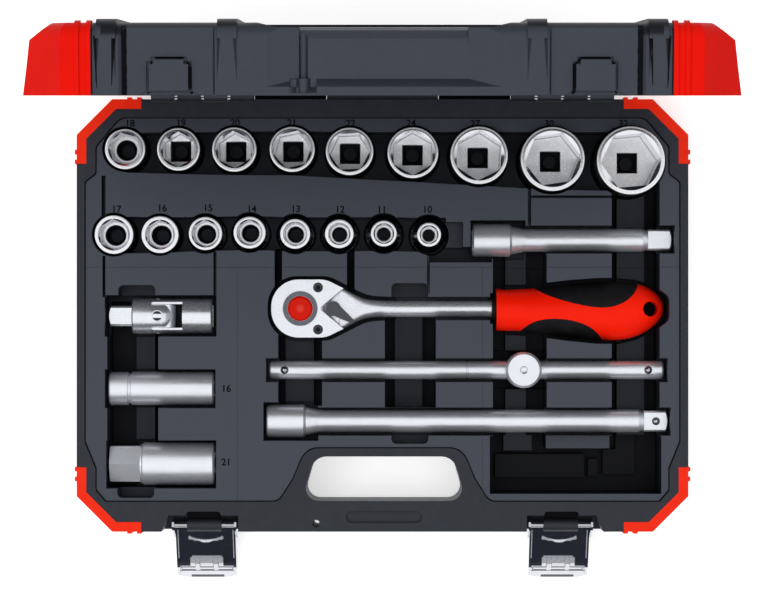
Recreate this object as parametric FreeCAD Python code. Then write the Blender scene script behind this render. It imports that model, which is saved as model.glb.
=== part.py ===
import FreeCAD, Part
import math
import os

# Half-inch socket set in a hinged carry case. All sizes are millimetres.
# X runs along the hinge, Y from the carry handle to the hinge, Z up from the table.
# The origin is the middle of the base's underside. The lid is shaped shut, then swung
# open about the hinge pins. Tools lie in the tray as they are stored.

# ------------------------------------------------------------------ case sizes
side_rim = 4.9               # top of the side walls, beside the tray
back_rim = 11.3              # top of the back wall, behind the tray
grip_bar = 19.0              # front wall at the opening, which is the carry bar
base_height = 48.0
lid_height = 38.0
case_wall = 3.0
corner_cut = 22.0            # 45 degree cut at each corner, in plan
outer_round = 5.0            # round where the base's walls meet its underside
lid_round = 8.5              # round where the lid's walls meet its outer face
lid_lean = 3.9               # how far the lid's side walls lean in
lid_lean_height = 29.0
lid_bevel = 12.7             # width of the long bevel above them
lid_seam = 0.3               # gap between the two rims when shut

guard_thickness = 6.0
base_guard_leg = 40.0
lid_guard_leg = 38.0
guard_rib_width = 2.6
guard_rib_pitch = 6.1
guard_rib_proud = 1.2
guard_backing = 2.5          # lid wall left behind a corner guard
guard_flange = 1.5           # the part of a lid guard that laps over the lid's top

handle_centre_x = 0.9
handle_top_half = 43.0       # half width of the opening on the hinge side
handle_bottom_half = 51.0    # half width of the opening on the grip side
handle_land = 4.1            # tray between the long bar's trough and the handle's band
handle_round = 8.0
handle_frame = 5.6           # band between the opening and the tray
handle_flare = 9.0           # how far that band spreads at its foot
handle_flare_rise = 14.0
grip_relief = 8.0            # how far each half is thinned at the grip
grip_half = 57.0
grip_slope = 15.0
lid_grip_drop = 2.3          # of the lid's outer face, beside the opening
scoop_depth = 5.0            # finger scoop in the lid's front wall
scoop_half = 44.0            # at its floor
scoop_side = 17.0            # width of its slanted ends
scoop_flange = 4.6           # of the front wall left under it
scoop_slant = 4.2            # height of its lower slant
scoop_arch = 9.0             # round over it

slot_length = 47.0
slot_width = 7.0
slot_depth = 2.5
slot_inset = 9.1             # slot's middle behind the front face
padlock_x = -41.1
padlock_inset = 5.0          # hole's middle behind the front face
padlock_hole_d = 4.5
padlock_boss_d = 7.0
padlock_notch = 14.0         # width of the notch round the boss
padlock_notch_z = 1.4        # its foot, above the lid's rim

# ----------------------------------------------------------------- hinge sizes
hinge_offset = 2.0           # pin line behind the back wall
hinge_pin_d = 3.0
hinge_pin_fit = 0.05         # radial
knuckle_d = 6.4
knuckle_clearance = 0.5      # radial room round a knuckle
knuckle_count = 4            # in each of the two groups
knuckle_width = 14.5
knuckle_pitch = 16.4
hinge_group_x = 111.5        # middle of a group
lid_open_angle = 84.7
stop_lug_half = 34.5
stop_lug_reach = 6.5
stop_lug_gap = 0.3

# ----------------------------------------------------------------- latch sizes
latch_x = 111.0
latch_pivot_inset = 3.5      # pin line inside the front wall
latch_pivot_z = 37.5
latch_pin_d = 3.0
latch_pin_fit = 0.05
latch_plate_width = 37.4
latch_ear_thickness = 1.3
ear_height = 14.5            # how far the plate's ears run up from the pin
latch_sheet = 1.5
latch_offset = 7.6           # pin line to the inner face of the plate
latch_length = 49.0
latch_bend = 33.0            # where the plate starts to curl out
latch_lip = 6.0              # how far its grip edge curls out
latch_rail = 1.7             # rolled side edges
crescent_width = 21.7
crescent_u = 15.5            # ends of the pressed crescent, from the pin line
crescent_sag = 3.4
latch_table_gap = 0.2        # under the grip edge when the latch hangs open
latch_knuckle_d = 8.0
latch_knuckle_width = 21.4
knuckle_pocket = 2.4         # how far the pocket behind the knuckle cuts into the rim
latch_bay_width = 43.0
latch_bay_depth = 10.0
latch_bay_slant = 5.0
catch_width = 20.8
catch_height = 18.7
catch_proud = 2.2            # in front of the lid's front wall
catch_corner = 2.4           # square notch at each top corner
catch_groove = 1.3           # round the catch
catch_groove_depth = 0.9
catch_foot = 16.0            # half width of the low arch under the catch
catch_foot_height = 2.4
panel_inner = 88.0           # sunk panel behind a latch
panel_outer = 133.0
panel_depth = 2.8
panel_wall = 2.2
panel_inner_slope = 1.0
panel_outer_slope = 4.2
hook_clearance = 0.6         # above the catch
hook_sheet = 1.2
hook_width = 20.7
hook_rib_x = 5.8
hook_rib_width = 2.8

# ------------------------------------------------------------------ tray sizes
tray_top = 46.3
tray_wall = 2.0
tray_gap = 0.4               # round the tray, inside the base
tray_side_land = 2.4         # tray left beside the outermost tool
tray_back_land = 3.7         # tray left behind the back row
tray_front_land = 4.4        # tray left in front of the storage pocket
tray_shoulder = 6.8          # step in the tray's edge at each corner
side_gap = 1.6               # each side of a tool
end_gap = 1.6                # at each end of a tool
seat_gap = 0.3               # under a tool
deep_floor = 10.0            # finger channels
saddle_level = 24.0          # middle strip of a finger channel
socket_seat = 7.3            # underside of a standing socket
row_floor = 22.0             # between the standing sockets
peg_d = 8.2
peg_height = 14.0
trough_half = 18.4           # most that the back row's trough reaches in front
storage_x = 66.6
storage_width = 106.3
storage_front = -110.6
storage_depth = 35.9
storage_floor = 7.0
tray_split_back = 30.0       # the tray is in four parts, which meet at these lines
tray_split_left = -90.0
tray_split_right = 62.0

# ------------------------------------------------------------------ tool sizes
drive = 12.7                 # half inch square
drive_length = 14.6
drive_corner_d = 16.6        # across the bevelled corners
drive_hole = 12.9
drive_hole_depth = 16.0
drive_end_d = 22.0
socket_fit = 0.2             # across flats
lying_z = 32.0               # axis of a tool that lies in the tray

ball_d = 4.8
ball_proud = 0.8
ball_fit = 0.1
ball_bore = 6.2

bar_shank_d = 14.2
bar_socket_d = 20.6
bar_socket_length = 24.5
bar_taper = 8.0
bar_neck = 3.4               # bevel between shank and male square

short_bar_x = 56.2
short_bar_length = 124.0
short_bar_y = 47.2
long_bar_x = -72.3
long_bar_length = 250.0
long_bar_y = -65.8

tee_x = -70.7
tee_length = 246.0
tee_d = 11.5
tee_y = -33.9
tee_fit = 0.1                # radial, head on its bar
tee_head_x = 87.9
tee_head_d = 22.4
tee_head_height = 20.0
tee_head_rise = 10.0         # above the bar's axis
tee_travel_left = 7.5
tee_travel_right = 2.3
tee_ball_inset = 9.6
tee_groove_x = 52.9

ratchet_x = -51.2            # middle of the square
ratchet_y = 4.4
ratchet_axis_z = 31.0
head_radius = 18.0
head_bottom = 22.0
head_top = 38.5
head_wall = 2.0
gear_radius = 13.0
gear_teeth = 24
gear_tooth = 1.1
gear_fit = 0.1
gear_top = 33.0
gear_neck_radius = 9.2
cover_thickness = 3.0
button_d = 15.4
button_fit = 0.2
button_rise = 1.2
button_travel = 2.0
ring_d = 21.8
ring_rise = 0.6
lever_x = -30.6
lever_round = 4.6
lever_reach = 15.6
lever_tip_round = 1.3
lever_angle = 33.8
lever_height = 3.4
cover_screw_d = 5.6
ratchet_shank_d = 10.4
tang_length = 16.0           # of the shank, inside the handle
collar_width = 2.8
collar_d = 15.0
grip_x = 71.0
grip_end = 175.3
hang_hole_inset = 8.6        # from the end of the handle
hang_hole_d = 9.5

joint_x = -140.1             # pin crossing of the universal joint
joint_y = -0.2
joint_d = 22.0
joint_left = -170.7
joint_right = -106.1
joint_fork_left = -156.1
joint_gap = 12.2             # between the prongs of a fork
joint_prong = 10.2           # width of a prong
joint_relief = 12.0
joint_pin_d = 5.6
joint_block = 11.6
joint_fit = 0.05
joint_swing_room = 1.8

spark_gap = 0.35             # rubber insert in its bore


# -------------------------------------------------------------- shape helpers
def vec(x, y, z):
    return FreeCAD.Vector(x, y, z)


UP = vec(0, 0, 1)
ALONG = vec(1, 0, 0)
BACK = vec(0, 1, 0)


def box(x0, x1, y0, y1, z0, z1):
    return Part.makeBox(x1 - x0, y1 - y0, z1 - z0, vec(x0, y0, z0))


def rod(radius, length, start, direction=UP):
    return Part.makeCylinder(radius, length, start, direction)


def outline(corners, z=0.0):
    """Closed wire in plan through (x, y, radius) corners, each one rounded."""
    points = [vec(x, y, z) for x, y, _ in corners]
    bends = []
    for i, (_, _, radius) in enumerate(corners):
        here = points[i]
        back = points[i - 1] - here
        ahead = points[(i + 1) % len(points)] - here
        half = back.getAngle(ahead) / 2
        reach = radius / math.tan(half)
        reach = min(reach, 0.4999 * min(back.Length, ahead.Length))
        bend = reach * math.tan(half)
        back.normalize()
        ahead.normalize()
        inward = back + ahead
        inward.normalize()
        middle = here + inward * (bend / math.sin(half) - bend)
        bends.append((here + back * reach, middle, here + ahead * reach, reach))
    edges = []
    for i, (start, middle, end, reach) in enumerate(bends):
        if reach > 1e-6:
            edges.append(Part.Arc(start, middle, end).toShape())
        following = bends[(i + 1) % len(bends)][0]
        if (following - end).Length > 1e-6:
            edges.append(Part.makeLine(end, following))
    return Part.Wire(edges)


def prism(corners, z0, z1):
    return Part.Face(outline(corners, z0)).extrude(vec(0, 0, z1 - z0))


def side_prism(points, x0, x1):
    """Prism along X through (y, z) points."""
    wire = Part.makePolygon([vec(x0, y, z) for y, z in points + points[:1]])
    return Part.Face(wire).extrude(vec(x1 - x0, 0, 0))


def turned(profile):
    """Body turned about Z through (radius, z) points."""
    wire = Part.makePolygon([vec(r, 0, z) for r, z in profile + profile[:1]])
    return Part.Face(wire).revolve(vec(0, 0, 0), UP, 360)


def laid(shape, x, y, z):
    """Turn a body made about Z so that it lies along X from (x, y, z)."""
    shape = shape.copy()
    shape.rotate(vec(0, 0, 0), BACK, 90)
    shape.translate(vec(x, y, z))
    return shape


def moved(shape, x, y, z):
    shape = shape.copy()
    shape.translate(vec(x, y, z))
    return shape


def mirrored(shape):
    return shape.mirror(vec(0, 0, 0), ALONG)


def fused(shapes):
    whole = shapes[0]
    if len(shapes) > 1:
        whole = whole.multiFuse(shapes[1:])
    return whole.removeSplitter()


def carved(shape, cutters):
    """The shape with each cutter taken from it in turn."""
    for cutter in cutters:
        shape = shape.cut(cutter)
    return shape


def export(name, *shapes):
    solids = [solid for shape in shapes for solid in shape.Solids]
    shape = solids[0] if len(solids) == 1 else Part.makeCompound(solids)
    shape.exportStep("parts/" + name + ".step")


# -------------------------------------------------------- what lies where
# size: (x, y, outside diameter of the hexagon end, length, turn of the hexagon)
sockets = {
    18: (-159.8, 103.3, 25.0, 38.0, 15), 19: (-126.6, 103.1, 26.5, 39.0, 0),
    20: (-91.9, 102.9, 27.5, 40.0, 3), 21: (-56.0, 103.0, 28.0, 40.0, 42),
    22: (-20.4, 101.7, 29.5, 41.0, 33), 24: (18.8, 100.7, 31.5, 43.0, 0),
    27: (59.7, 98.9, 35.5, 46.0, -3), 30: (105.0, 96.5, 39.5, 48.0, 38),
    32: (153.1, 95.5, 42.0, 50.0, 35),
    17: (-166.7, 50.2, 24.0, 38.0, 5), 16: (-138.1, 50.2, 23.0, 38.0, 3),
    15: (-109.9, 50.9, 20.7, 38.0, 5), 14: (-82.5, 51.5, 19.9, 38.0, 2),
    13: (-54.2, 50.7, 18.6, 38.0, 0), 12: (-26.8, 50.7, 17.8, 38.0, 0),
    11: (0.8, 50.9, 16.1, 38.0, 0), 10: (28.9, 50.2, 14.9, 38.0, 0),
}
back_row = (18, 19, 20, 21, 22, 24, 27, 30, 32)
front_row = (17, 16, 15, 14, 13, 12, 11, 10)
# size: (left end, y, body diameter, length, neck position, hexagon on the drive end)
spark_sockets = {
    16: (-170.6, -45.4, 20.8, 65.4, 12.5, 0.0),
    21: (-169.8, -92.4, 26.6, 65.0, 19.0, 22.0),
}


def well_radius(outside):
    """Radius of the well that a standing socket drops into."""
    return max(outside, drive_end_d) / 2 + side_gap


right_reach = max(long_bar_x + long_bar_length, short_bar_x + short_bar_length,
                  tee_x + tee_length, grip_end) + end_gap
left_reach = max([well_radius(outside) - x for x, _, outside, _, _ in sockets.values()]
                 + [end_gap - left for left, *_ in spark_sockets.values()] + [end_gap - joint_left])
tray_half = max(left_reach, right_reach) + tray_side_land
tray_back_y = max(y + well_radius(outside) for _, y, outside, _, _ in sockets.values()) + tray_back_land
tray_front_y = storage_front - tray_front_land

# ------------------------------------------------------------- case, in plan
half_width = tray_half + tray_gap + side_rim
half_depth = tray_back_y + tray_gap + back_rim
hinge_y = half_depth + hinge_offset
hinge_z = base_height
lid_rim = base_height + lid_seam
lid_top = lid_rim + lid_height
handle_bottom_y = grip_bar - half_depth
handle_top_y = long_bar_y - bar_socket_d / 2 - side_gap - handle_land - handle_frame
padlock_y = padlock_inset - half_depth
slot_y = slot_inset - half_depth


def case_outline(inset):
    """The case's outline in plan, moved inwards by inset."""
    w = half_width - inset
    d = half_depth - inset
    c = corner_cut - inset * (2 - math.sqrt(2))
    return [(w, d - c, 0), (w - c, d, 0), (c - w, d, 0), (-w, d - c, 0),
            (-w, c - d, 0), (c - w, -d, 0), (w - c, -d, 0), (w, c - d, 0)]


def case_block(inset, z0, z1, flat_z, radius):
    """Solid case half, moved inwards by inset, whose big outer face at flat_z is rounded."""
    block = prism(case_outline(inset), z0, z1)
    if radius < 0.5:
        return block
    rims = [edge for edge in block.Edges
            if all(abs(v.Z - flat_z) < 1e-6 for v in edge.Vertexes)]
    return block.makeFillet(radius, rims)


def base_form(inset=0.0):
    return case_block(inset, 0, base_height, 0, outer_round)


def lid_form(inset=0.0, below_top=None):
    """The lid's outer form, its sides moved inwards by inset and its top down by below_top."""
    z0 = lid_rim - 1 if inset > 0 else lid_rim
    top = lid_top - (inset if below_top is None else below_top)
    block = case_block(inset, z0, top, top, lid_round - inset)
    lean = lid_lean / lid_lean_height
    run = lid_bevel / (lid_height - lid_lean_height)
    x0 = half_width - inset
    x1 = x0 - lid_lean
    z1 = lid_rim + lid_lean_height - 0.5 * inset
    far = half_width + 20
    points = [vec(x0 + 5 * lean, 0, lid_rim - 5), vec(x1, 0, z1),
              vec(x1 - (lid_top + 5 - z1) * run, 0, lid_top + 5),
              vec(far, 0, lid_top + 5), vec(far, 0, lid_rim - 5)]
    side = Part.Face(Part.makePolygon(points + points[:1])).extrude(vec(0, 2 * half_depth + 20, 0))
    side.translate(vec(0, -half_depth - 10, 0))
    return block.cut([side, mirrored(side)])


def corner_zones(leg, z0, z1):
    boxes = []
    for sx in (-1, 1):
        for sy in (-1, 1):
            xs = sorted((sx * (half_width - leg), sx * (half_width + 5)))
            ys = sorted((sy * (half_depth - leg), sy * (half_depth + 5)))
            boxes.append(box(xs[0], xs[1], ys[0], ys[1], z0, z1))
    return boxes


def guard_bands(block, core, leg):
    """The skin of a case half, down to its core, that each of its corner guards takes up."""
    bounds = block.BoundBox
    return [block.common(zone).cut(core) for zone in corner_zones(leg, bounds.ZMin, bounds.ZMax)]


def base_bands():
    core = prism(case_outline(guard_thickness), -1, base_height + 1)
    return guard_bands(base_form(), core, base_guard_leg)


def lid_bands():
    return guard_bands(lid_form(), lid_form(guard_thickness, guard_flange), lid_guard_leg)


def guard_ribs(sx, sy, leg, z0, z1):
    """Room for two finger ribs near the free end of each leg of one corner guard."""
    ribs = []
    deep = 2 * guard_thickness
    for inset in (guard_rib_width / 2, guard_rib_width / 2 + guard_rib_pitch):
        x = sx * (half_width - leg + inset)
        y = sy * (half_depth - leg + inset)
        half = guard_rib_width / 2
        ends = sorted((sy * (half_depth - deep), sy * (half_depth + 5)))
        ribs.append(box(x - half, x + half, ends[0], ends[1], z0, z1))
        ends = sorted((sx * (half_width - deep), sx * (half_width + 5)))
        ribs.append(box(ends[0], ends[1], y - half, y + half, z0, z1))
    return ribs


def corner_guards(bands, proud, core, leg):
    """Guards whose ribs stand out to the proud form and end at the core."""
    bounds = proud.BoundBox
    guards = []
    for band, (sx, sy) in zip(bands, [(sx, sy) for sx in (-1, 1) for sy in (-1, 1)]):
        ribs = [rib.common(proud).cut(core) for rib in guard_ribs(sx, sy, leg, bounds.ZMin, bounds.ZMax)]
        guards.append(fused([band] + ribs))
    return guards


def base_corner_guards():
    proud = prism(case_outline(-guard_rib_proud), outer_round, base_height)
    core = prism(case_outline(guard_thickness), -1, base_height + 1)
    return corner_guards(base_bands(), proud, core, base_guard_leg)


def lid_corner_guards():
    core = lid_form(guard_thickness, guard_flange)
    return corner_guards(lid_bands(), lid_form(-guard_rib_proud), core, lid_guard_leg)


def handle_outline(grow):
    """The hand opening, moved outwards by grow."""
    cx = handle_centre_x
    slope = (handle_bottom_half - handle_top_half) / (handle_top_y - handle_bottom_y)
    bottom = handle_bottom_half + grow * (1 + slope)
    top = handle_top_half + grow * (1 - slope)
    return [(cx - bottom, handle_bottom_y - grow, handle_round + grow),
            (cx + bottom, handle_bottom_y - grow, handle_round + grow),
            (cx + top, handle_top_y + grow, handle_round + 2 + grow),
            (cx - top, handle_top_y + grow, handle_round + 2 + grow)]


def tray_outline(grow):
    """The tray's edge: shoulders at the corners and a notch round the handle."""
    half = tray_half + grow
    shoulder = tray_half - tray_shoulder + grow
    back = tray_back_y + grow
    front = tray_front_y - grow
    notch_bottom = handle_bottom_half + handle_frame - grow
    notch_top = handle_top_half + handle_frame - grow
    notch_y = handle_top_y + handle_frame - grow
    cx = handle_centre_x
    right = [(cx + notch_top, notch_y, 12), (cx + notch_bottom, front + handle_flare_rise, 10),
             (cx + notch_bottom + handle_flare, front, 7),
             (shoulder - 6, front, 2), (shoulder, front + 7, 2), (shoulder, front + 20.5, 4),
             (half, front + 37, 4), (half, back - 39.7, 3), (shoulder, back - 34.7, 3),
             (shoulder, back - 18, 4), (shoulder - 15, back, 8)]
    left = [(-x, y, r) for x, y, r in right[3:]]
    left_notch = [(2 * cx - x, y, r) for x, y, r in right[:3]]
    return right + left[::-1] + left_notch[::-1]


# ------------------------------------------------------------------- hinges
def knuckles(owner):
    """(x0, x1) of the knuckles on the base (owner 0) or the lid (owner 1)."""
    spans = []
    first = hinge_group_x - knuckle_pitch * (knuckle_count - 1) / 2
    for i in range(knuckle_count):
        x0 = first + i * knuckle_pitch - knuckle_width / 2
        if i % 2 == owner:
            spans += [(x0, x0 + knuckle_width), (-x0 - knuckle_width, -x0)]
    return spans


def with_knuckles(shell, owner, web_z):
    """Add one half's knuckles, and clear room for the other half's."""
    radius = knuckle_d / 2
    room = radius + knuckle_clearance
    for x0, x1 in knuckles(1 - owner):
        side = knuckle_clearance
        shell = shell.cut(rod(room, x1 - x0 + 2 * side, vec(x0 - side, hinge_y, hinge_z), ALONG))
    solids = [shell]
    for x0, x1 in knuckles(owner):
        solids.append(rod(radius, x1 - x0, vec(x0, hinge_y, hinge_z), ALONG))
        z0, z1 = sorted((hinge_z, web_z))
        solids.append(box(x0, x1, half_depth - 1, hinge_y + radius, z0, z1))
    shell = fused(solids)
    bore = hinge_pin_d / 2 + hinge_pin_fit
    for x0, x1 in knuckles(owner):
        shell = shell.cut(rod(bore, x1 - x0 + 2, vec(x0 - 1, hinge_y, hinge_z), ALONG))
    return shell


def hinge_pins():
    length = knuckle_pitch * (knuckle_count - 1) + knuckle_width
    x0 = hinge_group_x - length / 2
    pin = rod(hinge_pin_d / 2, length, vec(x0, hinge_y, hinge_z), ALONG)
    return [pin, mirrored(pin)]


def stop_lug():
    """Finger behind the back wall that the open lid comes to rest on."""
    lean = math.radians(90 - lid_open_angle)
    reach = half_depth + stop_lug_reach
    rest = hinge_z + hinge_offset / math.cos(lean) - stop_lug_gap
    inner = hinge_y + 1
    near = rest + (inner - hinge_y) * math.tan(lean)
    far = rest + (reach - hinge_y) * math.tan(lean)
    return side_prism([(half_depth - 1, 36), (half_depth, 36), (reach, 42), (reach, far),
                       (inner, near), (inner, 46), (half_depth - 1, 46)],
                      -stop_lug_half, stop_lug_half)


# ------------------------------------------------------------------ latches
latch_y = latch_pivot_inset - half_depth
hook_u = catch_height + lid_rim - latch_pivot_z + hook_clearance
lip_reach = latch_offset + latch_sheet + latch_lip
latch_swing = math.hypot(latch_length, lip_reach)
# the latch hangs open until its grip edge is just off the table
latch_rest_angle = (180 - math.degrees(math.acos((latch_pivot_z - latch_table_gap) / latch_swing)
                                       + math.atan(lip_reach / latch_length)))


def latch_bay(side):
    """Room in the front wall for one latch, slanted on its outer side."""
    half = latch_bay_width / 2
    inner = latch_x - half
    outer = latch_x + half
    front = -half_depth - 1
    back = -half_depth + latch_bay_depth
    plan = prism([(side * inner, front, 0), (side * (outer + latch_bay_slant), front, 0),
                  (side * outer, back, 0), (side * inner, back, 0)], 0, base_height + 1)
    below = latch_offset + latch_sheet + 1.4
    drop = math.tan(math.radians(latch_rest_angle - 90))
    floor_back = latch_pivot_z - below
    floor_front = floor_back - (latch_y - front) * drop - 3
    depth = side_prism([(front, floor_front), (latch_y, floor_back - 3), (back, floor_back),
                        (back, base_height + 1), (front, base_height + 1)],
                       -half_width, half_width)
    return plan.common(depth)


def latch_knuckle(side):
    """Knuckle in the bay that carries the latch pin."""
    x = side * latch_x
    half = latch_knuckle_width / 2
    back = latch_bay_depth - half_depth
    radius = latch_knuckle_d / 2
    lug = rod(radius, 2 * half, vec(x - half, latch_y, latch_pivot_z), ALONG)
    web = box(x - half, x + half, latch_y, back + 1,
              latch_pivot_z - latch_offset + 1.4, latch_pivot_z - 1.5)
    return fused([lug, web])


def knuckle_room(side):
    """Pocket behind the latch knuckle, cut a little into the rim."""
    x = side * latch_x
    half = latch_knuckle_width / 2
    back = latch_bay_depth + knuckle_pocket - half_depth
    return prism([(x - half, latch_y, 0), (x + half, latch_y, 0), (x + half, back, 2), (x - half, back, 2)],
                 latch_pivot_z - 1.5, base_height + 1)


def latch_pin(side):
    half = latch_plate_width / 2 + latch_ear_thickness
    start = vec(side * latch_x - half, latch_y, latch_pivot_z)
    return rod(latch_pin_d / 2, 2 * half, start, ALONG)


def latch_at_rest(shape, side):
    """Place a latch piece, made shut about the pin line, hanging open."""
    shape = shape.copy()
    shape.rotate(vec(0, 0, 0), ALONG, latch_rest_angle)
    shape.translate(vec(side * latch_x, latch_y, latch_pivot_z))
    return shape


def plate_line(depth):
    """Side view of the plate's face, depth below its inner face: straight, then curling out."""
    curl = latch_length - latch_bend
    y = -latch_offset - depth
    return [(y, latch_bend), (y - 0.08 * latch_lip, latch_bend + 0.2 * curl),
            (y - 0.3 * latch_lip, latch_bend + 0.45 * curl),
            (y - 0.62 * latch_lip, latch_bend + 0.72 * curl),
            (y - latch_lip, latch_length)]


def latch_plate():
    """Pressed plate with two ears, made shut: Z up the case, -Y outwards."""
    half = latch_plate_width / 2
    inner = -latch_offset
    outer = inner - latch_sheet
    foot = 3.0
    sheet = side_prism([(outer, foot), (inner, foot)] + plate_line(0) + plate_line(latch_sheet)[::-1],
                       -half, half)
    rail = side_prism([(inner - 0.5, foot), (inner + latch_rail, foot)]
                      + [(y + latch_rail, z) for y, z in plate_line(0)[:-1]]
                      + [(y - 0.5, z) for y, z in plate_line(0)[-2::-1]], half - latch_rail, half)
    ear_profile = side_prism([(outer, foot), (outer, ear_height), (inner, ear_height),
                              (0.5, 4.6), (4.2, 1.2), (4.2, -1.2), (2.4, -3.6),
                              (-1.5, -4.2), (inner, -1), (outer, foot - 2)],
                             0, latch_ear_thickness)
    right = moved(ear_profile, half, 0, 0)
    left = moved(ear_profile, -half - latch_ear_thickness, 0, 0)
    plate = fused([sheet, rail, mirrored(rail), right, left, pressed_crescent()])
    for side in (-1, 1):
        corner = [vec(side * (half - x), -40, latch_length - z)
                  for x, z in ((-2, 6.5), (0, 4.5), (1.4, 2.4), (5, 1.0), (12, 0), (12, -5), (-2, -5))]
        plate = plate.cut(Part.Face(Part.makePolygon(corner + corner[:1])).extrude(vec(0, 50, 0)))
    bore = rod(latch_pin_d / 2 + latch_pin_fit, 2 * half + 10, vec(-half - 5, 0, 0), ALONG)
    return plate.cut(bore)


def pressed_crescent():
    """Crescent that stands up from the plate's inner face."""
    half = crescent_width / 2
    discs = []
    for sag in (crescent_sag, 0.47 * crescent_sag):
        radius = (half * half + sag * sag) / (2 * sag)
        discs.append(rod(radius, 1.3, vec(0, -latch_offset - 0.5, crescent_u + sag - radius), BACK))
    return discs[0].cut(discs[1])


def latch_hook():
    """Strip inside the plate whose tongue drops over the lid's catch."""
    inner = -latch_offset
    face = inner + hook_sheet
    half = hook_width / 2
    line = plate_line(0)
    strip = side_prism([(inner, hook_u), (inner, latch_bend), line[1], (line[1][0] + 0.3, line[1][1]),
                        (face, latch_bend), (face, hook_u)], -half, half)
    reach = half_depth + latch_y + catch_proud - 1.1
    tongue = box(-catch_width / 2 + 1, catch_width / 2 - 1, face - 0.2, -reach,
                 hook_u, hook_u + hook_sheet)
    rib = side_prism([(face - 0.2, hook_u), (face + 0.9, hook_u), (face + 0.9, latch_bend),
                      (line[2][0] + 0.3, line[2][1]), line[2], line[1], (inner + 0.2, latch_bend)],
                     hook_rib_x - hook_rib_width / 2, hook_rib_x + hook_rib_width / 2)
    return fused([strip, tongue, rib, mirrored(rib)])


# --------------------------------------------------------------- base shell
def base_shell():
    shell = base_form().cut(prism(tray_outline(tray_gap), case_wall, base_height + 1))
    for band in base_bands():
        shell = shell.cut(band)
    cx = handle_centre_x
    relief = prism([(cx - grip_half, -half_depth - 1, 0), (cx + grip_half, -half_depth - 1, 0),
                    (cx + grip_half - grip_slope / 2, handle_top_y + handle_frame, 6),
                    (cx - grip_half + grip_slope / 2, handle_top_y + handle_frame, 6)],
                   -1, case_wall - 1.2)
    ramp = side_prism([(-half_depth - 1, -1), (-half_depth - 1, grip_relief), (-half_depth + 5, 4),
                       (handle_bottom_y, 2.5), (handle_bottom_y, -1)],
                      cx - grip_half, cx + grip_half)
    slot = prism([(cx - slot_length / 2, slot_y - slot_width / 2, slot_width / 2 - 0.1),
                  (cx + slot_length / 2, slot_y - slot_width / 2, slot_width / 2 - 0.1),
                  (cx + slot_length / 2, slot_y + slot_width / 2, slot_width / 2 - 0.1),
                  (cx - slot_length / 2, slot_y + slot_width / 2, slot_width / 2 - 0.1)],
                 base_height - slot_depth, base_height + 1)
    padlock = rod(padlock_hole_d / 2, base_height + 2, vec(padlock_x, padlock_y, -1))
    cuts = [prism(handle_outline(0), -1, base_height + 1), relief, ramp, slot, padlock]
    cuts += [cut for side in (-1, 1) for cut in (latch_bay(side), knuckle_room(side))]
    shell = shell.cut(cuts)
    shell = fused([shell, stop_lug()] + [latch_knuckle(side) for side in (-1, 1)])
    for side in (-1, 1):
        bore = latch_pin(side).BoundBox
        radius = latch_pin_d / 2 + latch_pin_fit
        shell = shell.cut(rod(radius, bore.XLength + 2, vec(bore.XMin - 1, latch_y, latch_pivot_z), ALONG))
    return with_knuckles(shell, 0, hinge_z - knuckle_d)


# ---------------------------------------------------------------- lid shell
lid_rib_x = (80.7, 143.7)
lid_rib_half = 5.2
lid_rib_proud = 2.0
lid_rib_foot = 7.0           # where a rib runs out, above the rim


def lid_ribs():
    """Broad ribs over the lid's outer face, running out down its front wall."""
    skin = lid_form(-lid_rib_proud).cut(lid_form(1.0))
    front = -half_depth
    shoulder = lid_top - lid_round
    ribs = []
    for x in lid_rib_x:
        over = box(x - lid_rib_half, x + lid_rib_half, front - 5, half_depth - 8, shoulder, lid_top + 5)
        sections = []
        for z, proud in ((shoulder + 0.5, lid_rib_proud), (lid_rim + lid_rib_foot, 0.02)):
            half = lid_rib_half
            points = [vec(x - half, front + 1, z), vec(x - half, front, z),
                      vec(x - half + proud, front - proud, z),
                      vec(x + half - proud, front - proud, z),
                      vec(x + half, front, z), vec(x + half, front + 1, z)]
            sections.append(Part.makePolygon(points + points[:1]))
        rib = fused([over.common(skin), Part.makeLoft(sections, True)])
        ribs += [rib, mirrored(rib)]
    return ribs


def across_front(points, y0, y1):
    """Prism through the front wall: points are (x, height above the lid's rim)."""
    face = Part.Face(Part.makePolygon([vec(x, y0, lid_rim + z) for x, z in points + points[:1]]))
    return face.extrude(vec(0, y1 - y0, 0))


def catch_outline(grow):
    """The catch, with a square notch at each top corner, about its own middle."""
    half = catch_width / 2 + grow
    top = catch_height + grow
    step = catch_corner
    right = [(half, 0.5), (half, top - step), (half - step, top - step), (half - step, top)]
    return right + [(-x, z) for x, z in right[::-1]]


def latch_panel(side):
    """Cuts for the sunk panel behind one latch, and the catch that stands in it."""
    front = -half_depth
    face = front + panel_depth
    plan = [(panel_inner - panel_inner_slope, front - 5), (panel_inner - panel_inner_slope, front),
            (panel_inner, face), (panel_outer, face), (panel_outer + panel_outer_slope, front),
            (panel_outer + panel_outer_slope, front - 5)]
    panel = prism([(side * x, y, 0) for x, y in plan], lid_rim - 2, lid_top + 5)
    x = side * latch_x
    groove = across_front([(x + u, z) for u, z in catch_outline(catch_groove)],
                          front, face + catch_groove_depth)
    foot = catch_foot
    arch = across_front([(x - foot, -2), (x + foot, -2), (x + foot, 0.2),
                         (x + catch_width / 2 + catch_groove, catch_foot_height),
                         (x - catch_width / 2 - catch_groove, catch_foot_height), (x - foot, 0.2)],
                        front, face + catch_groove_depth)
    tab = across_front([(x + u, max(z, catch_foot_height)) for u, z in catch_outline(0)],
                       front - catch_proud, face + catch_groove_depth + 0.5)
    return [panel, groove, arch], tab


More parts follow.
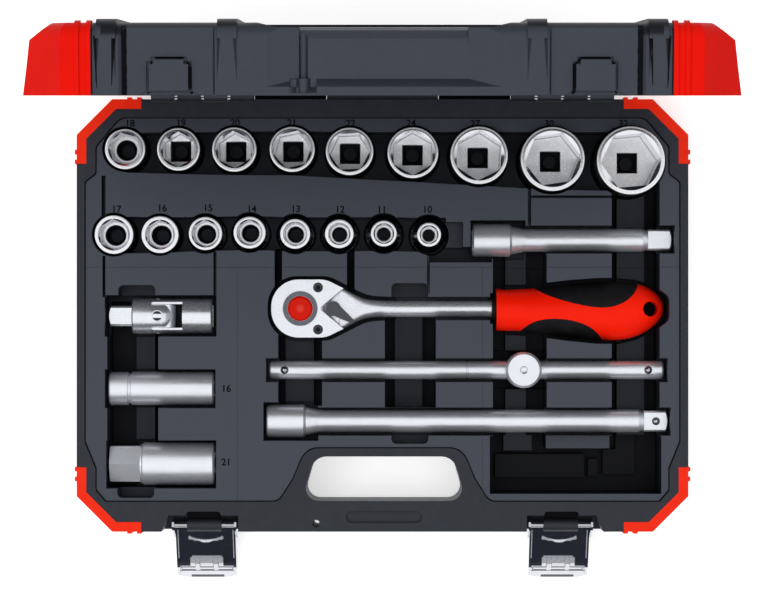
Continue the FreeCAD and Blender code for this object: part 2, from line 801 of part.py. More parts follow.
def scoop(grow):
    """Finger scoop in the lid's front wall at the carry bar, moved inwards by grow."""
    cx = handle_centre_x
    front = -half_depth
    floor = front + scoop_depth + grow
    foot = lid_rim + scoop_flange - grow
    brow = lid_top - lid_grip_drop - scoop_arch - grow
    profile = [(front - 5, foot), (front, foot), (floor, foot + scoop_slant), (floor, brow)]
    for i in range(1, 6):
        turn = math.radians(18 * i)
        profile.append((floor + scoop_arch * (1 - math.cos(turn)), brow + scoop_arch * math.sin(turn)))
    profile += [(floor + scoop_arch, lid_top + 5), (front - 5, lid_top + 5)]
    half = scoop_half + grow
    mouth = half + scoop_side
    plan = prism([(cx - mouth, front - 5, 0), (cx + mouth, front - 5, 0), (cx + mouth, front, 0),
                  (cx + half, floor, 0), (cx + half, floor + 20, 0), (cx - half, floor + 20, 0),
                  (cx - half, floor, 0), (cx - mouth, front, 0)], lid_rim - 1, lid_top + 6)
    return side_prism(profile, cx - mouth, cx + mouth).common(plan)


def lid_grip(grow):
    """Cut that lowers the lid's outer face beside the opening, moved outwards by grow."""
    cx = handle_centre_x
    z = lid_height - lid_grip_drop - grow
    near = grip_half + grow
    far = near + lid_grip_drop * 4
    y0 = -half_depth - 5
    return across_front([(cx - near, z), (cx + near, z), (cx + far, z + lid_grip_drop), (cx + far, z + 20),
                         (cx - far, z + 20), (cx - far, z + lid_grip_drop)],
                        y0, handle_top_y + handle_frame + grow)


def padlock_boss():
    return rod(padlock_boss_d / 2, scoop_flange + scoop_slant, vec(padlock_x, padlock_y, lid_rim))


def padlock_notch_room():
    """Notch in the lid's front wall round the padlock boss."""
    half = padlock_notch / 2
    return box(padlock_x - half, padlock_x + half, -half_depth - 5, scoop_depth - half_depth,
               lid_rim + padlock_notch_z, lid_rim + scoop_flange + scoop_slant)


def lid_room():
    """The hollow inside the lid, clear of what backs the guards, the panels and the scoop."""
    room = lid_form(case_wall)
    backing = lid_form(guard_thickness + guard_backing, case_wall)
    front = -half_depth
    for zone in corner_zones(lid_guard_leg + guard_backing, lid_rim - 2, lid_top):
        room = room.cut(zone.cut(backing))
    pads = []
    for side in (-1, 1):
        ends = (side * (panel_inner - panel_wall), side * (panel_outer + panel_outer_slope + panel_wall))
        pads.append(box(min(ends), max(ends), front, front + panel_depth + panel_wall,
                        lid_rim - 2, lid_top))
    ring = prism(handle_outline(case_wall), lid_rim - 2, lid_top)
    return carved(room, [ring, scoop(case_wall), lid_grip(case_wall), padlock_boss()] + pads)


def lid_shell():
    shell = carved(lid_form(), lid_bands() + [lid_room()])
    shell = fused([shell] + lid_ribs())
    opening = prism(handle_outline(0), lid_rim - 1, lid_top + 1)
    shell = fused([carved(shell, [opening, lid_grip(0), scoop(0), padlock_notch_room()]), padlock_boss()])
    shell = shell.cut(rod(padlock_hole_d / 2, lid_height, vec(padlock_x, padlock_y, lid_rim - 1)))
    for side in (-1, 1):
        cuts, tab = latch_panel(side)
        shell = fused([carved(shell, cuts), tab])
    return with_knuckles(shell, 1, hinge_z + knuckle_d)


def opened(shape):
    """Swing a lid piece from shut to its resting angle."""
    shape = shape.copy()
    shape.rotate(vec(0, hinge_y, hinge_z), vec(-1, 0, 0), lid_open_angle)
    return shape


# ------------------------------------------------------------------- sockets
open_web_size = 19           # from this size up the square opens into the hexagon
corner_relief = 0.9          # radius of the reliefs in the corners of that square


def hexagon(across, z0, z1, turn=0.0):
    """Hexagonal prism about Z with a corner towards Y, turned by degrees."""
    radius = across / math.sqrt(3)
    points = []
    for i in range(6):
        angle = math.radians(90 + turn + 60 * i)
        points.append(vec(radius * math.cos(angle), radius * math.sin(angle), z0))
    return Part.Face(Part.makePolygon(points + points[:1])).extrude(vec(0, 0, z1 - z0))


def square_hole(z0, z1):
    half = drive_hole / 2
    return box(-half, half, -half, half, z0, z1)


def hexagon_depth(size, length):
    return length * (0.55 if size >= open_web_size else 0.34)


def socket(size, outside, length, turn):
    """Socket standing on its drive end, hexagon up."""
    top = outside / 2
    foot = max(outside, drive_end_d) / 2
    bevel = 0.9
    profile = [(0, 0), (foot - bevel, 0), (foot, bevel)]
    if foot > top:
        profile += [(foot, 0.5 * length), (top, 0.5 * length + (foot - top) * 1.6)]
    profile += [(top, length - bevel), (top - bevel, length), (0, length)]
    across = size + socket_fit
    floor = length - hexagon_depth(size, length)
    mouth = across / math.sqrt(3)
    lead = turned([(0, length - 1.0), (across / 2, length - 1.0), (mouth, length + 0.01),
                   (0, length + 0.01)])
    cuts = [hexagon(across, floor, length + 1, turn), lead]
    if size >= open_web_size:
        corner = drive_hole / 2 - 0.2
        cuts.append(square_hole(-1, floor + 1))
        cuts += [rod(corner_relief, floor + 2, vec(sx * corner, sy * corner, -1))
                 for sx in (-1, 1) for sy in (-1, 1)]
    else:
        cuts.append(square_hole(-1, drive_hole_depth))
        bore = min(0.39 * size, drive_hole / 2)
        cuts.append(rod(bore, floor, vec(0, 0, 1)))
    return turned(profile).cut(cuts)


# ----------------------------------------------------------- drives and balls
def male_square(length):
    """Male square about Z from 0 to length, with bevelled corners and tip."""
    half = drive / 2
    blank = turned([(0, 0), (drive_corner_d / 2, 0), (drive_corner_d / 2, length - 1.4),
                    (drive_corner_d / 2 - 2.6, length), (0, length)])
    return blank.common(box(-half, half, -half, half, -1, length + 1))


def ball_place(surface, direction):
    """(ball, bore) of a sprung ball that stands proud of a surface point."""
    centre = surface + direction * (ball_proud - ball_d / 2)
    ball = Part.makeSphere(ball_d / 2, centre)
    bore = rod(ball_d / 2 + ball_fit, ball_bore + 1, surface + direction, direction * -1)
    return ball, bore


def extension(x, y, length):
    """Extension bar lying along X: square socket left, male square right."""
    big = bar_socket_d / 2
    small = bar_shank_d / 2
    shank_end = length - drive_length
    profile = [(0, 0), (big - 0.8, 0), (big, 0.8), (big, bar_socket_length - 1.5),
               (big - 1.5, bar_socket_length), (small, bar_socket_length + bar_taper),
               (small, shank_end - bar_neck), (drive_corner_d / 2 - 2.4, shank_end), (0, shank_end)]
    bar = turned(profile).cut([square_hole(-1, drive_hole_depth),
                               rod(drive_hole / 2 - 1, drive_hole_depth + 4, vec(0, 0, 0))])
    bar = fused([bar, moved(male_square(drive_length), 0, 0, shank_end)])
    return laid(bar, x, y, lying_z)


# ------------------------------------------------------------------ T handle
def tee_bar():
    r = tee_d / 2
    profile = [(0, 0), (r - 1, 0), (r, 1), (r, tee_groove_x - tee_x - 0.8),
               (r - 0.4, tee_groove_x - tee_x - 0.4), (r - 0.4, tee_groove_x - tee_x + 0.4),
               (r, tee_groove_x - tee_x + 0.8), (r, tee_length - 1), (r - 1, tee_length), (0, tee_length)]
    return laid(turned(profile), tee_x, tee_y, lying_z)


def tee_head():
    """Sliding head: round block on the bar, square pointing down."""
    r = tee_head_d / 2
    top = lying_z + tee_head_rise
    bottom = top - tee_head_height
    block = turned([(0, bottom), (r - 1.6, bottom), (r, bottom + 1.6), (r, top - 1.4),
                    (r - 1.4, top), (0, top)])
    dimple = Part.makeSphere(4.2, vec(0, 0, top + 3.4))
    stem = male_square(drive_length)
    stem.rotate(vec(0, 0, 0), ALONG, 180)
    head = fused([block.cut(dimple), moved(stem, 0, 0, bottom)])
    head.translate(vec(tee_head_x, tee_y, 0))
    hole = rod(tee_d / 2 + tee_fit, tee_head_d + 4, vec(tee_head_x - r - 2, tee_y, lying_z), ALONG)
    return head.cut(hole)


# ------------------------------------------------------------------- ratchet
head_plan = [(ratchet_x - head_radius, ratchet_y - head_radius, head_radius),
             (ratchet_x + 16, ratchet_y - head_radius, 16),
             (ratchet_x + 40, ratchet_y - 6, 26),
             (ratchet_x + 58, ratchet_y - 5, 0),
             (ratchet_x + 58, ratchet_y + 5, 0),
             (ratchet_x + 40, ratchet_y + 6, 26),
             (ratchet_x + 16, ratchet_y + head_radius, 16),
             (ratchet_x - head_radius, ratchet_y + head_radius, head_radius)]
notch_x = lever_x - lever_round - 1.4


def head_outline(grow=0.0):
    """The head's outline in plan, moved outwards by grow."""
    return [(x + math.copysign(grow, x - ratchet_x), y + math.copysign(grow, y - ratchet_y), max(r, grow))
            for x, y, r in head_plan]


def ratchet_body():
    """Head and shank, with the gear's bore open to the cover and to below."""
    blank = prism(head_outline(), head_bottom, head_top)
    neck = side_prism([(ratchet_y - 30, 0), (ratchet_y - 30, head_top + 5), (ratchet_y + 30, head_top + 5),
                       (ratchet_y + 30, 0)], ratchet_x + 24, ratchet_x + 70)
    frames = []
    for x, z0, z1 in ((ratchet_x + 24, head_bottom, head_top),
                      (ratchet_x + 58, ratchet_axis_z - 2.6, ratchet_axis_z + 2.6)):
        corners = ((-30, z0), (30, z0), (30, z1), (-30, z1), (-30, z0))
        frames.append(Part.makePolygon([vec(x, ratchet_y + across, z) for across, z in corners]))
    taper = Part.makeLoft(frames, True)
    head = fused([blank.cut(neck), blank.common(taper)])
    shank_x = ratchet_x + 30
    shank = rod(ratchet_shank_d / 2, grip_x + tang_length - shank_x,
                vec(shank_x, ratchet_y, ratchet_axis_z), ALONG)
    bore = gear_radius + gear_fit
    cuts = [rod(bore, head_top, vec(ratchet_x, ratchet_y, head_bottom + head_wall)),
            rod(gear_neck_radius + gear_fit, 20, vec(ratchet_x, ratchet_y, head_bottom - 5))]
    return fused([head, shank]).cut(cuts)


def ratchet_cover():
    """Plate over the head, with a V notch for the lever and a ring for the button."""
    z1 = head_top + cover_thickness
    plate = prism(head_outline(), head_top, z1)
    plate = plate.cut([box(ratchet_x + 27, ratchet_x + 80, -60, 60, 0, 60),
                       prism([(notch_x - 2, ratchet_y, 2), (lever_x + 7, ratchet_y - 13, 0),
                              (lever_x + 30, ratchet_y - 13, 0), (lever_x + 30, ratchet_y + 13, 0),
                              (lever_x + 7, ratchet_y + 13, 0)], 0, 60)])
    ring = rod(ring_d / 2, cover_thickness + ring_rise, vec(ratchet_x, ratchet_y, head_top))
    hole = rod(button_d / 2 + button_fit, 20, vec(ratchet_x, ratchet_y, head_top - 5))
    sinks = [rod(cover_screw_d / 2, 5, vec(x, y, z1 - 1.2)) for x, y in cover_screw_places]
    return fused([plate, ring]).cut([hole] + sinks)


cover_screw_places = [(ratchet_x + 11.1, ratchet_y + sy * 13.1) for sy in (-1, 1)]


def cover_screws():
    z1 = head_top + cover_thickness
    heads = []
    for x, y in cover_screw_places:
        head = rod(cover_screw_d / 2, 0.9, vec(x, y, z1 - 1.2))
        heads.append(head.cut(moved(hexagon(2.4, z1 - 0.9, z1 + 1), x, y, 0)))
    return heads


def ratchet_gear():
    """Toothed gear with the half-inch square below it."""
    z0 = head_bottom + head_wall + gear_fit
    points = []
    for i in range(gear_teeth):
        for radius, share in ((gear_radius, 0.0), (gear_radius - gear_tooth, 0.5)):
            angle = 2 * math.pi * (i + share) / gear_teeth
            points.append(vec(radius * math.cos(angle), radius * math.sin(angle), z0))
    wheel = Part.Face(Part.makePolygon(points + points[:1])).extrude(vec(0, 0, gear_top - z0))
    neck = rod(gear_neck_radius, z0 - head_bottom + 1.5, vec(0, 0, head_bottom - 1))
    stem = male_square(drive_length - 1)
    stem.rotate(vec(0, 0, 0), ALONG, 180)
    gear = fused([wheel, neck, moved(stem, 0, 0, head_bottom - 1)])
    return moved(gear, ratchet_x, ratchet_y, 0)


def release_button():
    top = head_top + cover_thickness + button_rise
    r = button_d / 2
    z0 = gear_top + 0.3 + button_travel
    cap = turned([(0, z0), (r, z0), (r, top - 1.2), (r - 1.2, top - 0.3), (0, top)])
    return moved(cap, ratchet_x, ratchet_y, 0)


def selector_lever():
    """Teardrop lever that lies over the neck, pointing to one side."""
    z0 = head_top + 0.3
    pad = rod(lever_round, lever_height, vec(0, 0, z0))
    tip = lever_tip_round
    wide = 0.93 * lever_round
    fin = prism([(0, -wide, 0), (lever_reach - tip, -tip, tip), (lever_reach, 0, tip),
                 (lever_reach - tip, tip, tip), (0, wide, 0)], z0, z0 + lever_height)
    lever = fused([pad, fin])
    slope = Part.makeBox(30, 30, 10, vec(0, -15, z0 + lever_height))
    slope.rotate(vec(0, 0, z0 + lever_height), BACK, 6)
    lever = lever.cut(slope)
    lever.rotate(vec(0, 0, 0), UP, -lever_angle)
    return moved(lever, lever_x, ratchet_y, 0)


# (share of the length, middle, half width, half thickness) down the ratchet's handle
grip_sections = [(0.0, -0.5, 13.1, 11.5), (0.134, -0.8, 13.1, 11.6), (0.278, -1.2, 14.3, 12.0),
                 (0.422, -1.3, 16.2, 12.6), (0.585, -1.5, 17.7, 13.0), (0.738, -1.5, 18.0, 13.0),
                 (0.853, -0.6, 16.0, 12.4), (0.93, 0.0, 12.0, 10.2), (0.978, 0.1, 7.4, 6.4),
                 (1.0, 0.1, 3.0, 2.4)]


def on_grip(share, across):
    """(x, y) of a point on the handle, by its share of the length and its offset."""
    return grip_x + share * (grip_end - grip_x), ratchet_y + across


def grip_blank():
    """The handle's rounded body, lofted through ellipses."""
    wires = []
    for share, middle, wide, thick in grip_sections:
        x, y = on_grip(share, middle)
        centre = vec(x, y, ratchet_axis_z)
        ellipse = Part.Ellipse(centre + vec(0, wide, 0), centre + vec(0, 0, thick), centre)
        wires.append(Part.Wire([ellipse.toShape()]))
    return Part.makeLoft(wires, True, False)


def curve(points, z):
    spline = Part.BSplineCurve()
    spline.interpolate([vec(x, y, z) for x, y in points])
    return spline.toShape()


def grip_cutters():
    """Prisms that hold the two soft grips, above and below the red core."""
    upper = [(0.211, 14.1), (0.278, 9.6), (0.345, 6.7), (0.527, 1.7), (0.69, 1.2), (0.796, 6.7),
             (0.849, 15.6)]
    lower = [(0.139, -14.9), (0.234, -8.0), (0.358, -6.4), (0.48, -8.3), (0.588, -13.9), (0.642, -21.4)]
    cutters = []
    for places, far in ((upper, 30), (lower, -30)):
        points = [on_grip(share, across) for share, across in places]
        first, last = points[0], points[-1]
        edges = [curve(points, 0),
                 Part.makeLine(vec(last[0], last[1], 0), vec(last[0], far, 0)),
                 Part.makeLine(vec(last[0], far, 0), vec(first[0], far, 0)),
                 Part.makeLine(vec(first[0], far, 0), vec(first[0], first[1], 0))]
        cutters.append(Part.Face(Part.Wire(edges)).extrude(vec(0, 0, 60)))
    return cutters


def grip_parts():
    """(core, two soft grips), with the tang bore and the hanging hole."""
    tang = rod(ratchet_shank_d / 2, tang_length + 2, vec(grip_x - 1, ratchet_y, ratchet_axis_z), ALONG)
    hole = rod(hang_hole_d / 2, 60, vec(grip_end - hang_hole_inset, ratchet_y - 0.3, 0))
    blank = grip_blank().cut([tang, hole])
    cutters = grip_cutters()
    grips = [blank.common(cutter) for cutter in cutters]
    return blank.cut(cutters), grips


def collar():
    start = vec(grip_x - collar_width, ratchet_y, ratchet_axis_z)
    ring = rod(collar_d / 2, collar_width, start, ALONG)
    return ring.cut(rod(ratchet_shank_d / 2, collar_width, start, ALONG))


# ----------------------------------------------------------- universal joint
def fork(inner_end, outer_end):
    """Round fork along X about the pin crossing at 0, prongs above and below."""
    radius = joint_d / 2
    half_gap = joint_gap / 2
    half_prong = joint_prong / 2
    blank = rod(radius, inner_end - outer_end, vec(outer_end, 0, 0), ALONG)
    sides = [box(-joint_relief, radius + 1, sy0, sy1, -30, 30)
             for sy0, sy1 in ((-30, -half_prong), (half_prong, 30))]
    gap = box(-joint_relief, radius + 1, -30, 30, -half_gap, half_gap)
    keep = Part.makeSphere(radius, vec(0, 0, 0))
    prongs = blank.common(box(-joint_relief, radius, -30, 30, -30, 30)).cut(sides + [gap])
    prongs = prongs.common(fused([keep, box(-joint_relief - 1, 0, -30, 30, -30, 30)]))
    body = blank.common(box(outer_end, -joint_relief, -30, 30, -30, 30))
    pin = rod(joint_pin_d / 2 + joint_fit, 4 * radius, vec(0, 0, -2 * radius))
    return fused([body, prongs]).cut(pin)


def universal_joint():
    """(driver, socket half, cross block, pins), set at the joint's place."""
    centre = vec(joint_x, joint_y, lying_z)
    driver = fork(joint_d / 2, joint_fork_left - joint_x)
    square = male_square(joint_fork_left - joint_left)
    square.rotate(vec(0, 0, 0), BACK, -90)
    driver = fused([driver, moved(square, joint_fork_left - joint_x, 0, 0)])
    driver.translate(centre)
    socket_half = fork(joint_d / 2, joint_x - joint_right)
    socket_half.rotate(vec(0, 0, 0), UP, 180)
    socket_half.rotate(vec(0, 0, 0), ALONG, 90)
    hole = square_hole(-drive_hole_depth, 1)
    hole.rotate(vec(0, 0, 0), BACK, 90)
    socket_half = socket_half.cut(moved(hole, joint_right - joint_x, 0, 0))
    socket_half.translate(centre)
    half = joint_block / 2
    pin_r = joint_pin_d / 2
    reach = joint_d / 2 - 0.3
    upright = rod(pin_r, 2 * reach, vec(0, 0, -reach))
    across = rod(pin_r, 2 * reach, vec(0, -reach, 0), BACK)
    block = box(-half, half, -half, half, -half, half).cut([upright, across])
    pins = [upright] + across.cut(upright).Solids
    return driver, socket_half, moved(block, *centre), [moved(pin, *centre) for pin in pins]


# ---------------------------------------------------------- spark plug sockets
def spark_socket(size, body_d, length, neck, drive_hexagon):
    """(socket, rubber insert) about Z, drive end at 0."""
    r = body_d / 2
    groove = 1.0
    profile = [(0, 0), (r - 0.9, 0), (r, 0.9), (r, neck - 0.9), (r - groove, neck),
               (r - groove, neck + 0.8), (r, neck + 1.7), (r, length - 0.9), (r - 0.9, length), (0, length)]
    blank = turned(profile)
    if drive_hexagon:
        blank = blank.common(fused([hexagon(drive_hexagon, -1, neck, 30), box(-r, r, -r, r, neck, length)]))
    across = size + socket_fit
    depth = 14.0
    bore = across / 2 + 0.6
    sleeve_z = 26.0
    mouth = across / math.sqrt(3)
    lead = turned([(0, length - 1), (across / 2, length - 1), (mouth, length + 0.01), (0, length + 0.01)])
    sleeve_room = length - depth - sleeve_z + 0.5
    blank = blank.cut([hexagon(across, length - depth, length + 1, 0), lead,
                       square_hole(-1, drive_hole_depth), rod(bore - 1.5, length, vec(0, 0, 2)),
                       rod(bore, sleeve_room, vec(0, 0, sleeve_z))])
    grip = rod(bore - spark_gap, length - depth - sleeve_z - 1, vec(0, 0, sleeve_z + 0.5))
    grip = grip.cut(rod(bore - 2.4, length, vec(0, 0, 0)))
    return blank, grip


# ---------------------------------------------------------------- tool tray
# finger channels: (left, saddle left, saddle right, right, front, back)
channels = [(-170.7, -154.6, -142.8, -139.1, -106.9, 8.9),
            (-64.7, -61.0, -43.0, -37.5, -56.0, -12.0),
            (1.5, 7.7, 25.1, 33.1, -57.0, -1.0),
            (68.5, 77.1, 90.1, 101.9, -76.0, 40.0),
            (142.2, 147.1, 164.5, 171.9, -76.0, 82.0)]
# narrow grooves that part the raised fields: (left, right, front, back)
groove_floor = 34.0
grooves = [(-174.2, -171.8, 61.0, 86.7),
           (-173.6, -171.9, 11.5, 37.0),
           (-104.8, -103.0, 12.0, 39.5),
           (27.6, 29.3, 14.0, 40.3),
           (90.2, 92.1, 55.5, 82.0),
           (91.0, 142.5, 72.9, 74.4)]
# deep channels from the front row's trough to the ratchet, and the step beside its last socket
ratchet_channels = [(-66.9, -62.3, 14.0, 42.0),
                    (-22.0, -17.3, 12.0, 42.0)]
front_row_step = (29.3, 67.9, 33.0, 42.5)
# finger notches beside a tool: (x, the tool's axis, how far the notch reaches from it)
finger_notches = [(-152.4, joint_y, joint_d / 2 + 8.0),
                  (-153.0, spark_sockets[21][1], -spark_sockets[21][2] / 2 - 7.4),
                  (17.0, ratchet_y, ratchet_shank_d / 2 + 10.4),
                  (17.0, long_bar_y, -bar_shank_d / 2 - 6.6)]
notch_half = 11.4
notch_floor = 26.0


class Tray:
    """Collects the rooms pressed into the tray and the walls round them."""

    def __init__(self):
        self.rooms = []
        self.walls = []

    def add_box(self, x0, x1, y0, y1, floor):
        t = tray_wall
        self.rooms.append(box(x0, x1, y0, y1, floor, tray_top + 1))
        self.walls.append(box(x0 - t, x1 + t, y0 - t, y1 + t, floor - t, tray_top))

    def add_well(self, x, y, radius, floor):
        t = tray_wall
        self.rooms.append(rod(radius, tray_top + 1 - floor, vec(x, y, floor)))
        self.walls.append(rod(radius + t, tray_top - floor + t, vec(x, y, floor - t)))

    def add_plan(self, corners, floor):
        wire = outline(corners, floor)
        self.rooms.append(Part.Face(wire).extrude(vec(0, 0, tray_top + 1 - floor)))
        wide = wire.makeOffset2D(tray_wall, 2)
        wide.translate(vec(0, 0, -tray_wall))
        self.walls.append(Part.Face(wide).extrude(vec(0, 0, tray_top - floor + tray_wall)))

    def add_lying(self, y, axis_z, sections):
        """Stepped trough for a tool of (x0, x1, radius, side room) sections."""
        for x0, x1, radius, room in sections:
            self.add_box(x0, x1, y - radius - room, y + radius + room, axis_z - radius - seat_gap)


def row_trough(row, in_front, behind):
    """Plan of the trough that joins the wells of one row of sockets."""
    low, high = [], []
    for size in row:
        x, y, outside, _, _ = sockets[size]
        reach = well_radius(outside)
        low.append((x, y - min(reach + in_front, trough_half), 0))
        high.append((x, y + reach + behind, 0))
    return low + high[::-1]


def socket_rooms(tray):
    """Two rows of wells joined by troughs."""
    tray.add_plan(row_trough(back_row, 0.4, -4.2), row_floor)
    tray.add_plan(row_trough(front_row, -1.8, -2.4), row_floor)
    x, y, outside, _, _ = sockets[back_row[-1]]
    tray.add_box(x, x + trough_half, y - trough_half, y + 8.5, row_floor)
    x, y, outside, _, _ = sockets[front_row[-1]]
    gate = well_radius(outside) - 2.2
    tray.add_box(x - 1, x + gate, y - gate, y + gate, row_floor)
    tray.add_box(x + gate, short_bar_x - end_gap - 4.7, y - 8.2, y + 7.8, saddle_level + 6)
    for x, y, outside, _, _ in sockets.values():
        tray.add_well(x, y, well_radius(outside), socket_seat - seat_gap)


def lying_rooms(tray):
    """A trough for each tool that lies down, and the finger channels."""
    shank = bar_shank_d / 2
    big = bar_socket_d / 2
    for x, y, length in ((short_bar_x, short_bar_y, short_bar_length),
                         (long_bar_x, long_bar_y, long_bar_length)):
        step = x + bar_socket_length + bar_taper
        tray.add_lying(y, lying_z, [(x - end_gap, step, big, side_gap),
                                    (step - 1, x + length + end_gap - 0.6, shank, side_gap)])
    tray.add_lying(tee_y, lying_z, [(tee_x - end_gap, tee_x + tee_length + end_gap, tee_d / 2, side_gap)])
    tray.add_box(tee_head_x - tee_head_d / 2 - tee_travel_left - 0.6,
                 tee_head_x + tee_head_d / 2 + tee_travel_right + 0.6,
                 tee_y - tee_head_d / 2 - 1, tee_y + tee_head_d / 2 + 1,
                 lying_z + tee_head_rise - tee_head_height - drive_length - 1)
    tray.add_lying(joint_y, lying_z, [(joint_left - end_gap, joint_right + end_gap + 1.5, joint_d / 2,
                                       joint_swing_room)])
    for left, y, body_d, length, _, _ in spark_sockets.values():
        tray.add_lying(y, lying_z, [(left - end_gap, left + length + end_gap, body_d / 2, side_gap)])
    for x0, s0, s1, x1, y0, y1 in channels:
        tray.add_box(x0, s0, y0, y1, deep_floor)
        tray.add_box(s0 - 0.5, s1 + 0.5, y0, y1, saddle_level)
        tray.add_box(s1, x1, y0, y1, deep_floor)
    for x0, x1, y0, y1 in grooves:
        tray.add_box(x0, x1, y0, y1, groove_floor)
    for x0, x1, y0, y1 in ratchet_channels:
        tray.add_box(x0, x1, y0, y1, deep_floor)
    tray.add_box(*front_row_step, row_floor)
    for x, axis_y, reach in finger_notches:
        y0, y1 = sorted((axis_y, axis_y + reach))
        tray.add_plan([(x - notch_half, y0, 3), (x + notch_half, y0, 3), (x + notch_half, y1, 3),
                       (x - notch_half, y1, 3)], notch_floor)


def ratchet_room(tray):
    room = side_gap + 0.4
    tray.add_plan(head_outline(room), head_bottom - seat_gap)
    tray.add_well(ratchet_x, ratchet_y, drive_corner_d / 2 + 2.4, head_bottom - drive_length - 0.6)
    collar_start = grip_x - collar_width - 1.5
    for x0, x1, width in ((ratchet_x + 50, grip_x, ratchet_shank_d), (collar_start, grip_x, collar_d)):
        half = width / 2 + room
        tray.add_box(x0, x1, ratchet_y - half, ratchet_y + half, ratchet_axis_z - width / 2 - seat_gap)
    tray.add_plan(grip_pocket(), ratchet_axis_z - max(thick for *_, thick in grip_sections) - seat_gap)


def grip_pocket():
    """Plan of the handle's pocket, a little wider than the handle all round."""
    room = side_gap + 1.0
    low, high = [], []
    for share, middle, wide, _ in grip_sections[:-2]:
        x, y = on_grip(share, middle)
        low.append((x, y - wide - room, 20))
        high.append((x, y + wide + room, 20))
    low[0] = (grip_x - room, low[0][1], 2)
    high[0] = (grip_x - room, high[0][1], 2)
    tip = grip_sections[-2][2]
    low.append((grip_end + room, ratchet_y - tip, 6))
    high.append((grip_end + room, ratchet_y + tip, 6))
    return low + high[::-1]


def storage_room(tray):
    tray.add_box(storage_x, storage_x + storage_width, storage_front, storage_front + storage_depth,
                 storage_floor)


def storage_pads():
    """Raised pads on the storage pocket's floor, measured from its front left corner."""
    pads = [(9.3, 27.3, 26.0, 35.9, 24), (35.3, 75.0, 27.8, 35.9, 36), (4.3, 60.7, 8.6, 23.5, 16),
            (63.2, 69.4, 9.2, 20.4, 13), (72.5, 92.9, 10.5, 26.6, 14), (80.5, 92.9, 26.6, 35.9, 14)]
    return [moved(box(x0, x1, y0, y1, storage_floor - 0.5, top), storage_x, storage_front, 0)
            for x0, x1, y0, y1, top in pads]


def tool_tray():
    tray = Tray()
    socket_rooms(tray)
    lying_rooms(tray)
    ratchet_room(tray)
    storage_room(tray)
    edge = prism(tray_outline(0), 0, tray_top)
    sheet = prism(tray_outline(0), tray_top - tray_wall, tray_top)
    shell = sheet.multiFuse(tray.walls).common(edge)
    rooms = tray.rooms[0].multiFuse(tray.rooms[1:])
    shell = shell.cut(rooms)
    pegs = [rod(peg_d / 2, peg_height, vec(x, y, socket_seat - seat_gap - 0.5))
            for x, y, *_ in sockets.values()]
    return fused([shell] + storage_pads() + pegs)


def tray_parts():
    """The tray's back part, and its left, middle and right parts in front of that."""
    tray = tool_tray()
    far = half_width
    zones = {"tool_tray": (-far, far, tray_split_back, far),
             "tool_tray_left": (-far, tray_split_left, -far, tray_split_back),
             "tool_tray_middle": (tray_split_left, tray_split_right, -far, tray_split_back),
             "tool_tray_right": (tray_split_right, far, -far, tray_split_back)}
    return {name: tray.common(box(x0, x1, y0, y1, 0, base_height))
            for name, (x0, x1, y0, y1) in zones.items()}


# -------------------------------------------------------------------- export
def main():
    os.makedirs("parts", exist_ok=True)
    export("base_shell", base_shell())
    for name, part in tray_parts().items():
        export(name, part)
    export("base_corner_guards", *base_corner_guards())
    export("lid_shell", opened(lid_shell()))
    export("lid_corner_guards", *[opened(guard) for guard in lid_corner_guards()])
    export("hinge_pins", *hinge_pins())
    export("latch_pins", *[latch_pin(side) for side in (-1, 1)])
    for side, word in ((-1, "left"), (1, "right")):
        export("latch_plate_" + word, latch_at_rest(latch_plate(), side))
        export("latch_hook_" + word, latch_at_rest(latch_hook(), side))

    for size, (x, y, outside, length, turn) in sockets.items():
        export("socket_%d" % size, moved(socket(size, outside, length, turn), x, y, socket_seat))

    side = drive / 2
    bars = {"extension_125": (short_bar_x, short_bar_y, short_bar_length, BACK),
            "extension_250": (long_bar_x, long_bar_y, long_bar_length, UP)}
    for name, (x, y, length, direction) in bars.items():
        surface = vec(x + length - drive_length / 2, y, lying_z) + direction * side
        ball, bore = ball_place(surface, direction)
        export(name, extension(x, y, length).cut(bore))
        export(name + "_ball", ball)

    bar = tee_bar()
    for word, x in (("left", tee_x + tee_ball_inset), ("right", tee_x + tee_length - tee_ball_inset)):
        ball, bore = ball_place(vec(x, tee_y, lying_z + tee_d / 2), UP)
        bar = bar.cut(bore)
        export("tee_bar_ball_" + word, ball)
    export("tee_bar", bar)
    stem_z = lying_z + tee_head_rise - tee_head_height - drive_length / 2
    ball, bore = ball_place(vec(tee_head_x + side, tee_y, stem_z), ALONG)
    export("tee_head", tee_head().cut(bore))
    export("tee_head_ball", ball)

    export("ratchet_body", ratchet_body())
    export("ratchet_cover", ratchet_cover())
    export("ratchet_cover_screws", *cover_screws())
    ball, bore = ball_place(vec(ratchet_x - side, ratchet_y, head_bottom - drive_length / 2), ALONG * -1)
    export("ratchet_gear", ratchet_gear().cut(bore))
    export("ratchet_ball", ball)
    export("ratchet_button", release_button())
    export("ratchet_lever", selector_lever())
    export("ratchet_collar", collar())
    core, grips = grip_parts()
    export("ratchet_handle", core)
    export("ratchet_grips", *grips)

    driver, socket_half, block, pins = universal_joint()
    ball, bore = ball_place(vec((joint_left + joint_fork_left) / 2, joint_y - side, lying_z), BACK * -1)
    export("joint_driver", driver.cut(bore))
    export("joint_ball", ball)
    export("joint_socket", socket_half)
    export("joint_cross", block)
    export("joint_pins", *pins)

    for size, (left, y, body_d, length, neck, drive_hexagon) in spark_sockets.items():
        body, insert = spark_socket(size, body_d, length, neck, drive_hexagon)
        export("spark_socket_%d" % size, laid(body, left, y, lying_z))
        export("spark_insert_%d" % size, laid(insert, left, y, lying_z))


main()
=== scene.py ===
import math

